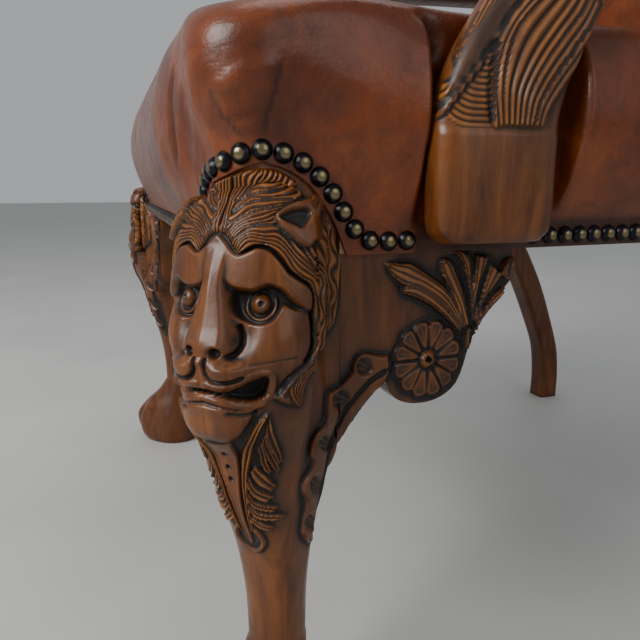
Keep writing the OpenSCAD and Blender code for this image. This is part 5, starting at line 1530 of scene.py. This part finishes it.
def fold_chart():
    """Relief of the leather round a front corner, with its tucked flap and the creases beside it, and the
    painted shade in its pleats and creases.
    """
    c = Relief((-150, 125), (335, 500))
    dark = c.layer()
    flap = c.region(FLAP, 3.0)
    form = 0.5 * smooth(flap * 1.1)
    top = c.layer()
    c.stroke(top, FLAP_TOP, 4.5, 0.9, SOFT, 0.1)
    cuts = c.layer()
    for line in PLEATS:
        c.stroke(cuts, line, 1.5, 1.1, SOFT, 0.08)
    # Painted shade in the pleats
    np.maximum(dark, 0.8 * smooth((cuts - 0.35) / 0.7), out=dark)
    for line, half, depth, shade in CREASES:
        cut = c.layer()
        c.stroke(cut, line, 1.7 * half, 0.6 * depth, SOFT, 0.25)
        # Painted shade in the creases
        np.maximum(dark, shade * smooth(cut / (0.6 * depth) * 2 - 1.2), out=dark)
        cuts += cut
    c.height = blur(form + top - cuts, 3)
    # Darkness of the folds: painted shade
    c.cavity = dark
    return c


def signed_volume(points, mesh):
    """Volume under a mesh's faces; it is negative where they face inwards."""
    mesh.calc_loop_triangles()
    tris = np.zeros(len(mesh.loop_triangles) * 3, np.int32)
    mesh.loop_triangles.foreach_get("vertices", tris)
    a, b, c = (points[tris.reshape(-1, 3)[:, k]] - points.mean(axis=0) for k in range(3))
    return (a * np.cross(b, c)).sum()


# Frames that the cloth takes to swell and come to rest
CLOTH_FRAMES = 20


def cloth_object(points, quads, tris, nailed, pressure):
    """Cloth under pressure from inside, held at its nailed points."""
    obj = bpy.data.objects.new("cloth", build_mesh("cloth", points, quads, tris))
    bpy.context.scene.collection.objects.link(obj)
    group = obj.vertex_groups.new(name="nailed")
    for i in nailed:
        group.add([int(i)], 1.0, "REPLACE")
    cloth = obj.modifiers.new("Cloth", "CLOTH").settings
    cloth.quality = 6
    cloth.mass = 0.4
    cloth.tension_stiffness = cloth.compression_stiffness = 25
    cloth.bending_stiffness = 2.0
    cloth.vertex_group_mass = "nailed"
    cloth.use_pressure = True
    cloth.uniform_pressure_force = pressure * np.sign(signed_volume(points, obj.data))
    cloth.effector_weights.gravity = 0
    return obj


def inflated(P, free, pressure, cap):
    """How far each point of a skin moves when it is blown up as cloth: free is 0 where it is nailed."""
    rows, cols = P.shape[:2]
    points = np.vstack([P.reshape(-1, 3), P[-1].mean(axis=0)])
    tris = fan_faces(np.arange(cols) + (rows - 1) * cols, rows * cols)
    obj = cloth_object(points, grid_faces(rows, cols), tris, np.flatnonzero(free.ravel() < 0.02), pressure)
    scene = bpy.context.scene
    for frame_number in range(1, CLOTH_FRAMES + 1):
        scene.frame_set(frame_number)
    solved = obj.evaluated_get(bpy.context.evaluated_depsgraph_get()).to_mesh()
    co = np.zeros(len(points) * 3, np.float32)
    solved.vertices.foreach_get("co", co)
    scene.frame_set(1)
    bpy.data.objects.remove(obj)
    move = (co.reshape(-1, 3) / MM)[:-1].reshape(P.shape) - P
    normals = grid_normals(P)
    swell = np.clip((move * normals).sum(axis=2), 0, cap)
    for _ in range(16):
        swell = (2 * swell + np.roll(swell, 1, axis=1) + np.roll(swell, -1, axis=1)) / 4
        swell[1:-1] = (2 * swell[1:-1] + swell[2:] + swell[:-2]) / 4
    return normals * (swell * free)[..., None]


def spread(move, picked, cols):
    """Carries moves of some columns of a closed grid smoothly over to all of its columns."""
    wide = np.concatenate([move[:, -3:], move, move[:, :3]], axis=1).transpose(1, 0, 2)
    place = np.concatenate([picked[-3:] - cols, picked, picked[:3] + cols])
    return loft(wide, np.interp(np.arange(cols), place, np.arange(len(place)))).transpose(1, 0, 2)


def around_corner(st):
    """Distance of each station round the nearest front corner, from the corner's middle."""
    turned = np.arctan2(np.abs(st[:, 2]), -st[:, 3])
    half_turn = CORNER_R * EIGHTH
    on_front = -half_turn - (SEAT_W / 2 - CORNER_R - np.abs(st[:, 0]))
    on_side_face = st[:, 1] - FRONT_Y - CORNER_R + half_turn
    w = np.where(turned < 0.01, on_front, CORNER_R * (turned - EIGHTH))
    w = np.where((turned > RIGHT_ANGLE - 0.01) & (st[:, 1] - FRONT_Y > CORNER_R - 1), on_side_face, w)
    return np.where(st[:, 3] > 0.5, BEHIND, w)


def rounded_dome(P, st, at):
    """Evens each row of the dome out along the seat's outline, so that no ridge runs in from a corner."""
    along = distances(np.vstack([st[:, :2], st[:1, :2]]))
    even = np.arange(0, along[-1], 3.0)
    waves = np.fft.rfftfreq(len(even), 3.0)
    rounded = P.copy()
    corner = 1 - smooth((np.abs(around_corner(st)) - 45) / 38)
    for row in np.flatnonzero(at > 3):
        dome = smooth((at[row] - len(WALL) + 2) / 3.5)
        width = 9 * smooth((at[row] - 3) / 3) + 20 * dome
        share = corner + (1 - corner) * smooth(6 * dome)
        keep = np.exp(-0.5 * (2 * math.pi * waves * width) ** 2)
        for k in range(3):
            line = np.interp(even, along, np.append(P[row, :, k], P[row, 0, k]))
            line = np.fft.irfft(np.fft.rfft(line) * keep, len(even))
            line = np.interp(along[:-1], np.append(even, along[-1]), np.append(line, line[0]))
            rounded[row, :, k] += (line - P[row, :, k]) * share
    fuller = 9.5 * smooth((at - 3) / 4) * (1 - 0.8 * smooth((at - len(WALL) - 2) / 5))
    around = np.exp(-((around_corner(st) / 52) ** 2))
    return rounded + grid_normals(rounded) * (fuller[:, None] * around)[..., None]


def seat_swell(st, rings, at):
    """Swelling of the seat's leather by the cloth solver, worked out on a coarse grid and carried over."""
    along = distances(np.vstack([st[:, :2], st[:1, :2]]))[:-1]
    picked = np.unique(np.searchsorted(along, np.arange(0, along[-1] - 4, 10.0)))
    coarse_at = row_places(rings[:, picked], 10.0, 14.0)
    coarse = loft(rings[:, picked], coarse_at)
    s = st[picked, 1] - FRONT_Y
    beside = beside_support(s) * smooth((REAR_FACE - FRONT_Y - s - 10) / 60)
    away = np.where(np.abs(st[picked, 2]) > 0.9, beside, 1.0) * (st[picked, 3] <= 0.5)
    top = smooth((coarse_at - len(WALL) - 1) / 3)[:, None]
    free = smooth((coarse_at - 1.8) / 1.6)[:, None] * np.maximum(away[None, :], 0.8 * top)
    move = inflated(coarse, free, 4.0, 7.0)
    rows = loft(move, np.interp(at, coarse_at, np.arange(len(coarse_at))))
    return spread(rows, picked.astype(float), len(st))


def seat_folds(P, st, at, rings):
    """Height and painted shade of the folds round the front corners, and the painted shadow beside the
    support.
    """
    folds = fold_chart()
    wall_top = loft(rings, np.array([len(WALL) - 1.0]))[0]
    inward = np.linalg.norm(P[..., :2] - wall_top[None, :, :2], axis=2) * (at > len(WALL) - 1)[:, None]
    w = np.broadcast_to(around_corner(st), P.shape[:2])
    v = P[..., 2] + 0.9 * inward
    near = smooth((w + 148) / 12) * smooth((123 - w) / 10) * smooth((498 - v) / 12) * (inward < 120)
    clear = smooth((P[..., 2] - st[:, 4] - NAIL_BAND + 3) / 8)
    painted_shade = folds.sample(folds.cavity, w, v) * near * clear
    # Painted shadow on the leather under the arm support
    under = smooth((st[:, 1] - FRONT_Y - SUPPORT_S + SUPPORT_W / 2 + 2) / 3) * (np.abs(st[:, 2]) > 0.9)
    painted_shade = np.maximum(painted_shade, 0.96 * under * smooth((HEM_Z + 19 - P[..., 2]) / 4))
    return folds.sample(folds.height, w, v) * near * clear, painted_shade


def seat():
    """The leather of the seat: lofted, swelled as cloth, rounded over, folded and turned in at its hem."""
    st = seat_stations(1.6, 7.0)
    mid = FRONT_Y + REAR_S / 2
    rings = cushion_rings(st, mid, SEAT_EDGE, RAIL_TOP + CROWN_H)
    at = row_places(rings, 1.65, 6.0)
    P = loft(rings, at)
    P = P + seat_swell(st, rings, at)
    P = rounded_dome(P, st, at)
    lip = P[0] - np.stack([st[:, 2], st[:, 3], st[:, 2] * 0], axis=1) * (LEATHER - 0.1)
    lift, painted_shade = seat_folds(P, st, at, rings)
    P = P + grid_normals(P) * lift[..., None]
    obj = piece("seat_leather", cushion_mesh("seat_leather", P, painted_shade, lip), HIDE, ["seat_cover"])


seat()

# Back cushion, drawn flat as [across, up the slope] with its depth, then leant back
CREST_H = 60.0
BACK_PAD = 56.0
POST_X = half_at(POST_S) - REAR_LEG_T / 2
BACK_HALF = POST_X + REAR_LEG_T / 2
BACK_LOW = 59.0
BACK_HEM = -REAR_LEG_T / 2
CREST_LINE = [[0, 0], [0.3, -5], [0.55, -17], [0.75, -22], [0.9, -17], [1, -14]]
BACK_CORNER = 14.0


def crest_v(x):
    """Height of the back's top edge at a distance from the middle."""
    return BACK_H + curve(np.abs(x) / BACK_HALF, CREST_LINE)


def on_back(x, v, depth):
    """Points by distance from the middle, way up the raked back, and depth ahead of it."""
    y = FRONT_Y + POST_S - depth * math.cos(RAKE) + v * math.sin(RAKE)
    z = RAIL_TOP + depth * math.sin(RAKE) + v * math.cos(RAKE)
    return np.stack(np.broadcast_arrays(x, y, z), axis=-1)


# Radius of the back's two top corners
TOP_CORNER = 9.0


def back_stations(step):
    """Stations round the back, on its flat drawing, as for the seat."""
    low_x = np.arange(0, BACK_HALF - BACK_CORNER, step)
    a = np.linspace(0, RIGHT_ANGLE, max(int(22 / step), 3))
    vs = np.arange(BACK_LOW + BACK_CORNER + step, crest_v(BACK_HALF) - 14, step)
    tx = np.arange(BACK_HALF - 6, 0, -step)
    tx = tx[tx < BACK_HALF - TOP_CORNER]
    slope = (crest_v(tx + 1) - crest_v(tx - 1)) / 2
    size = np.hypot(slope, 1)
    b = np.linspace(0.1, 0.9, max(int(14 / step), 3)) * RIGHT_ANGLE
    side_x = BACK_HALF - TOP_CORNER
    top_c = crest_v(side_x) - TOP_CORNER
    parts = [stations(low_x, BACK_LOW, 0.0, -1.0),
             stations(BACK_HALF - BACK_CORNER * (1 - np.sin(a)), BACK_LOW + BACK_CORNER * (1 - np.cos(a)),
                      np.sin(a), -np.cos(a)),
             stations(BACK_HALF, vs, 1.0, 0.0),
             stations(side_x + TOP_CORNER * np.cos(b), top_c + TOP_CORNER * np.sin(b), np.cos(b), np.sin(b)),
             stations(tx, crest_v(tx), -slope / size, 1 / size),
             [[0.0, BACK_H, 0.0, 1.0]]]
    half = np.vstack(parts)
    swell = 1 + 5 * np.maximum(half[:, 3], 0)
    return both_halves(np.hstack([half, stations(BACK_HEM, swell, 0.0, NAIL_BAND)]))


def back():
    """The leather of the back, from its stations to its turned-in hem."""
    st = back_stations(3.5)
    mid = (BACK_LOW + BACK_H) / 2
    rings = cushion_rings(st, mid, REAR_LEG_T / 2 + 16, REAR_LEG_T / 2 + BACK_PAD)
    at = row_places(rings, 3.5, 6.0)
    F = loft(rings, at)
    P = on_back(F[..., 0], F[..., 1], F[..., 2])
    lip = on_back(F[0, :, 0] - st[:, 2] * 1.9, F[0, :, 1] - st[:, 3] * 1.9, F[0, :, 2])
    obj = piece("back_leather", cushion_mesh("back_leather", P, np.zeros(P.shape[:2]), lip), HIDE,
                ["back_cover"])


back()

# Arms
ARM_Z, ARM_W, ARM_T = 658.0, 50.0, 32.0
ARM_X = half_at(WAIST_S) + WAIST_OUT
POST_LINE_S = POST_S + (ARM_Z + 9 - RAIL_TOP) * math.tan(RAKE)
ARM_ROOT_X = BACK_HALF + 2 * GAP + LEATHER + 1
ARM_PATH = [[ARM_ROOT_X, POST_LINE_S, ARM_Z + 9], [ARM_ROOT_X + 22, POST_LINE_S - 4, ARM_Z + 10],
            [ARM_X + 6, POST_LINE_S - 40, ARM_Z + 9], [ARM_X + 9, POST_LINE_S - 120, ARM_Z + 7],
            [ARM_X + 9, (POST_LINE_S + WAIST_S) / 2 - 10, ARM_Z + 4],
            [ARM_X + 4.5, WAIST_S + 80, ARM_Z + 1],
            [ARM_X, WAIST_S, ARM_Z], [ARM_X - 1, WAIST_S - 45, ARM_Z + 1],
            [ARM_X - 1, WAIST_S - 80, ARM_Z - 2]]
ARM_WIDTH = [[0, 0.86], [0.3, 0.94], [0.6, 1], [0.85, 1.04], [1, 1.1]]
SCROLL_R, SCROLL_W = 21.0, 58.0


def arm_line(count):
    """Middle line of an arm from the post forwards, with its directions sideways and up."""
    line = through(ARM_PATH, count) + [0, FRONT_Y, 0]
    ahead = np.gradient(line, axis=0)
    ahead[0], ahead[-1] = [1, 0, 0], [0, -1, 0]
    ahead /= np.linalg.norm(ahead, axis=1)[:, None]
    side = np.cross([0, 0, 1.0], ahead)
    side /= np.linalg.norm(side, axis=1)[:, None]
    return line, side, np.cross(ahead, side)


def arm_scroll(end):
    """Rings of the rolled end of an arm, round a line that runs across it."""
    b = np.linspace(0, math.tau, 97)[:-1]
    roll = []
    for x in (-1.0, -0.97, -0.9, -0.8, -0.4, 0, 0.4, 0.8, 0.9, 0.97, 1.0):
        r = SCROLL_R * (1 - 0.12 * max(0, abs(x) - 0.8) / 0.2)
        roll.append(end + np.stack([b * 0 + x * SCROLL_W / 2, r * np.sin(b), r * np.cos(b)], axis=1))
    return np.array(roll)


def arm():
    """The open arms: the left one with its rolled end, and its mirrored twin."""
    count = 150
    line, side, up = arm_line(count)
    a = np.linspace(0, math.tau, 57)[:-1]
    grid = []
    for k, (c, e, f) in enumerate(zip(line, side, up)):
        w = ARM_W / 2 * curve(k / (count - 1), ARM_WIDTH)
        r = power_radius(np.cos(a), np.sin(a), w, ARM_T / 2, 3.2)
        grid.append(c + (r * np.cos(a))[:, None] * e + (r * np.sin(a))[:, None] * f)
    points, quads, tris = skin_parts(np.array(grid), 0, True)
    more_points, more_quads, more_tris = skin_parts(arm_scroll(line[-1] - [0, 0, 3]), len(points))
    zero = np.zeros(len(points) + len(more_points))
    mesh = build_mesh("arm", np.vstack([points, more_points]), np.vstack([quads, more_quads]),
                      np.vstack([tris, more_tris]), {"cavity": zero, "edge": zero})
    both_sides("open_arm", mesh, WOOD, "arm")


arm()

PAD_L, PAD_W, PAD_H = 200.0, 46.0, 17.0
PAD_ENDS = [[0, 0.0], [0.02, 0.45], [0.06, 0.85], [0.15, 1], [0.85, 1], [0.94, 0.85], [0.98, 0.45],
            [1, 0.0]]


def arm_pad():
    """The leather pads on the arms: the left one and its mirrored twin."""
    line, side, _ = arm_line(400)
    s = line[:, 1] - FRONT_Y
    mid = (POST_LINE_S + WAIST_S) / 2
    grid = []
    a = np.linspace(0, math.pi, 34)
    for k in np.linspace(0, 1, 90):
        at = mid + PAD_L * (0.5 - k)
        i = np.argmin(np.abs(s[60:] - at)) + 60
        g = float(curve(k, PAD_ENDS))
        w = PAD_W / 2 * (0.82 + 0.18 * g)
        r = power_radius(np.cos(a), np.sin(a), w, max(PAD_H * g, 0.4), 2.6)
        c = line[i] + [0, 0, ARM_T / 2 + GAP]
        grid.append(c + (r * np.cos(a))[:, None] * side[i] + np.stack([a * 0, a * 0, r * np.sin(a)], axis=1))
    mesh = closed_skin("arm_pad", np.array(grid), {"painted_shade": np.zeros((90, 34))}, True)
    for pad in both_sides("leather_arm_pad", mesh, HIDE, "arm_pad"):
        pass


arm_pad()


# Rear legs
REAR_SWEEP = [[0, 1], [0.12, 1], [0.27, 0.945], [0.43, 0.785], [0.61, 0.57], [0.76, 0.34], [0.9, 0.1],
              [1, 0]]
REAR_REACH = 126.0
POST_TOP = BACK_H - CREST_H
REAR_FOOT_T = 34.0


def rear_leg():
    """The rear legs, which run up as the back's posts."""
    a = np.linspace(0, math.tau, 49)[:-1]
    grid = []
    for k in np.linspace(0, 1, 60):
        half = (REAR_FOOT_T + (REAR_LEG_T - REAR_FOOT_T) * max(0, k - 0.31) / 0.69) / 2
        r = power_radius(np.cos(a), np.sin(a), half, half, 7)
        y = r * np.sin(a) + REAR_REACH * curve(k, REAR_SWEEP)
        grid.append(np.stack([r * np.cos(a), y, a * 0 + k * RAIL_BOTTOM - RAIL_TOP], axis=1))
    r = power_radius(np.cos(a), np.sin(a), REAR_LEG_T / 2, REAR_LEG_T / 2, 7)
    grid.append(np.stack([r * np.cos(a), r * np.sin(a), a * 0], axis=1))
    for v in np.linspace(40, POST_TOP, 30):
        y, z = r * np.sin(a), v
        turned = [y * math.cos(RAKE) + z * math.sin(RAKE), z * math.cos(RAKE) - y * math.sin(RAKE)]
        grid.append(np.stack([r * np.cos(a), *turned], axis=1))
    P = np.array(grid) + [POST_X, FRONT_Y + POST_S, RAIL_TOP]
    zero = np.zeros(P.shape[:2])
    mesh = closed_skin("rear_leg", P, {"cavity": zero, "edge": zero})
    both_sides("raked_rear_leg", mesh, WOOD, "rear_leg")


rear_leg()


# Nails, set where the frame has them
def solids_of(node):
    """Points of each separate solid in a CAD node, in millimetres."""
    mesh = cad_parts[node].data
    co = np.zeros(len(mesh.vertices) * 3, np.float32)
    mesh.vertices.foreach_get("co", co)
    co = co.reshape(-1, 3) / MM
    keys, same = np.unique(np.round(co, 3), axis=0, return_inverse=True)
    edges = np.zeros(len(mesh.edges) * 2, np.int32)
    mesh.edges.foreach_get("vertices", edges)
    a, b = same.ravel()[edges.reshape(-1, 2)].T
    label = np.arange(len(keys))
    while True:
        low = np.minimum(label[a], label[b])
        new = label.copy()
        np.minimum.at(new, a, low)
        np.minimum.at(new, b, low)
        new = new[new]
        if np.array_equal(new, label):
            break
        label = new
    return [keys[label == k] for k in np.unique(label)]


def nail_places(node):
    """Foot and outward direction of each nail head in a node."""
    places = []
    for p in solids_of(node):
        c = p.mean(axis=0)
        _, _, axes = np.linalg.svd(p - c)
        n = axes[2]
        along = (p - c) @ n
        radial = np.linalg.norm((p - c) - along[:, None] * n, axis=1)
        if np.corrcoef(along, radial)[0, 1] > 0:
            n, along = -n, -along
        places.append((c + n * along.min(), n, radial.max()))
    return places


# Points round a nail's head, its height to its radius, how much the heads differ in tilt, size and
# height, and their profile: [distance from the middle, height] as shares
NAIL_TURNS = 20
NAIL_DOME = 0.68
NAIL_TILT, NAIL_SIZES, NAIL_HEIGHTS = 0.03, 0.012, 0.04
NAIL_PROFILE = [(1.0, 0.0), (0.995, 0.10), (0.95, 0.22), (0.84, 0.45), (0.66, 0.70), (0.5, 0.85),
                (0.38, 0.92), (0.18, 0.98)]


def nail_head(foot, n, radius):
    """Points and crown values of one domed head, a little askew, with its tip as the last point."""
    b = np.arange(NAIL_TURNS) / NAIL_TURNS * math.tau
    n = n + rng.normal(0, NAIL_TILT, 3)
    n /= np.linalg.norm(n)
    e = np.cross(n, [0.3, 0.1, 0.9])
    e /= np.linalg.norm(e)
    f = np.cross(n, e)
    size = radius * (1 + rng.normal(0, NAIL_SIZES))
    high = radius * NAIL_DOME * (1 + rng.normal(0, NAIL_HEIGHTS))
    around = np.cos(b)[:, None] * e + np.sin(b)[:, None] * f
    points = [foot + size * rad * around + n * (high * up) for rad, up in NAIL_PROFILE]
    crown = [np.full(NAIL_TURNS, smooth((0.74 - rad) / 0.4)) for rad, _ in NAIL_PROFILE]
    return np.vstack([*points, foot + n * high]), np.append(crown, 1.0)


def nail_rows(name, node):
    """Domed heads in place of a node's nails, as one piece."""
    rings = len(NAIL_PROFILE)
    last = (rings - 1) * NAIL_TURNS + np.arange(NAIL_TURNS)
    points, quads, tris, crown = [], [], [], []
    for k, place in enumerate(nail_places(node)):
        head, bright = nail_head(*place)
        points.append(head)
        crown.append(bright)
        quads.append(grid_faces(rings, NAIL_TURNS, k * len(head)))
        tris.append(fan_faces(last, len(head) - 1) + k * len(head))
    values = {"crown": np.concatenate(crown)}
    mesh = build_mesh(name, np.vstack(points), np.vstack(quads), np.vstack(tris), values)
    piece(name, mesh, NAILS, [node])


for name, node in (("seat_nail_rows", "seat_nails"), ("back_nail_rows", "back_nails"),
                   ("arm_pad_nail_rows", "arm_pad_nails")):
    nail_rows(name, node)


# The rest of the frame keeps its CAD shapes
def finish_nodes(material, *names):
    """Gives CAD nodes that stay a material of their own."""
    for name in names:
        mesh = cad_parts[name].data
        mesh.materials.clear()
        mesh.materials.append(material)


finish_nodes(PLAIN_WOOD, "front_rail", "rear_rail", "side_rail_left", "side_rail_right", "corner_blocks",
             "crest_rail", "back_lower_rail", "arm_dowels")
finish_nodes(SCREWS, "corner_screws", "arm_support_screws", "arm_screws")
finish_nodes(TACKS, "dust_cover_tacks")
finish_nodes(WEBBING, "seat_webbing", "back_webbing")
finish_nodes(HESSIAN, "seat_hessian", "back_hessian")
finish_nodes(FIBRE, "seat_stuffing", "back_stuffing")
finish_nodes(DUST_CLOTH, "dust_cover")
finish_nodes(HIDE, "outside_back_cover")


# Camera, floor and light
CAMERA_AT = (616.5, FRONT_Y - 55.2, 374.0)
AZIMUTH = math.radians(71.33)
LOOK_DOWN = math.radians(12.5)


def camera():
    """The camera that was fitted to the photograph."""
    data = bpy.data.cameras.new("camera")
    data.lens = 35
    data.sensor_width = 36
    data.clip_start = 0.01
    obj = bpy.data.objects.new("camera", data)
    bpy.context.scene.collection.objects.link(obj)
    obj.location = Vector(CAMERA_AT) * MM
    obj.rotation_euler = (RIGHT_ANGLE - LOOK_DOWN, 0, AZIMUTH)
    bpy.context.scene.camera = obj


def floor():
    """A wide flat floor under the chair."""
    mesh = bpy.data.meshes.new("floor")
    mesh.from_pydata([(-12, -12, 0), (12, -12, 0), (12, 12, 0), (-12, 12, 0)], [], [(0, 1, 2, 3)])
    obj = bpy.data.objects.new("floor", mesh)
    bpy.context.scene.collection.objects.link(obj)
    mesh.materials.append(studio_floor())


def soft_light(name, at, target, size, power, colour=(1, 1, 1)):
    """A rectangular lamp that points at a target."""
    data = bpy.data.lights.new(name, "AREA")
    data.shape = "RECTANGLE"
    data.size, data.size_y = size
    data.energy = power
    data.color = colour
    obj = bpy.data.objects.new(name, data)
    bpy.context.scene.collection.objects.link(obj)
    obj.location = at
    aim = Vector(target) - Vector(at)
    obj.rotation_euler = aim.to_track_quat("-Z", "Y").to_euler()


def studio():
    """Even light all round, with a window, a fill lamp and a lamp overhead."""
    world = bpy.data.worlds.new("studio")
    world.use_nodes = True
    world.node_tree.nodes["Background"].inputs["Color"].default_value = (0.80, 0.82, 0.85, 1)
    world.node_tree.nodes["Background"].inputs["Strength"].default_value = 0.52
    bpy.context.scene.world = world
    soft_light("window", (0.9, -2.3, 1.7), (0.2, -0.1, 0.35), (1.6, 1.3), 88, (1, 0.985, 0.96))
    soft_light("fill", (2.4, 0.7, 1.3), (0.2, -0.1, 0.4), (1.5, 1.5), 10)
    soft_light("top", (-0.2, 0.2, 2.8), (0, 0, 0.4), (1.8, 1.8), 16)


camera()
floor()
studio()
bpy.context.view_layer.update()
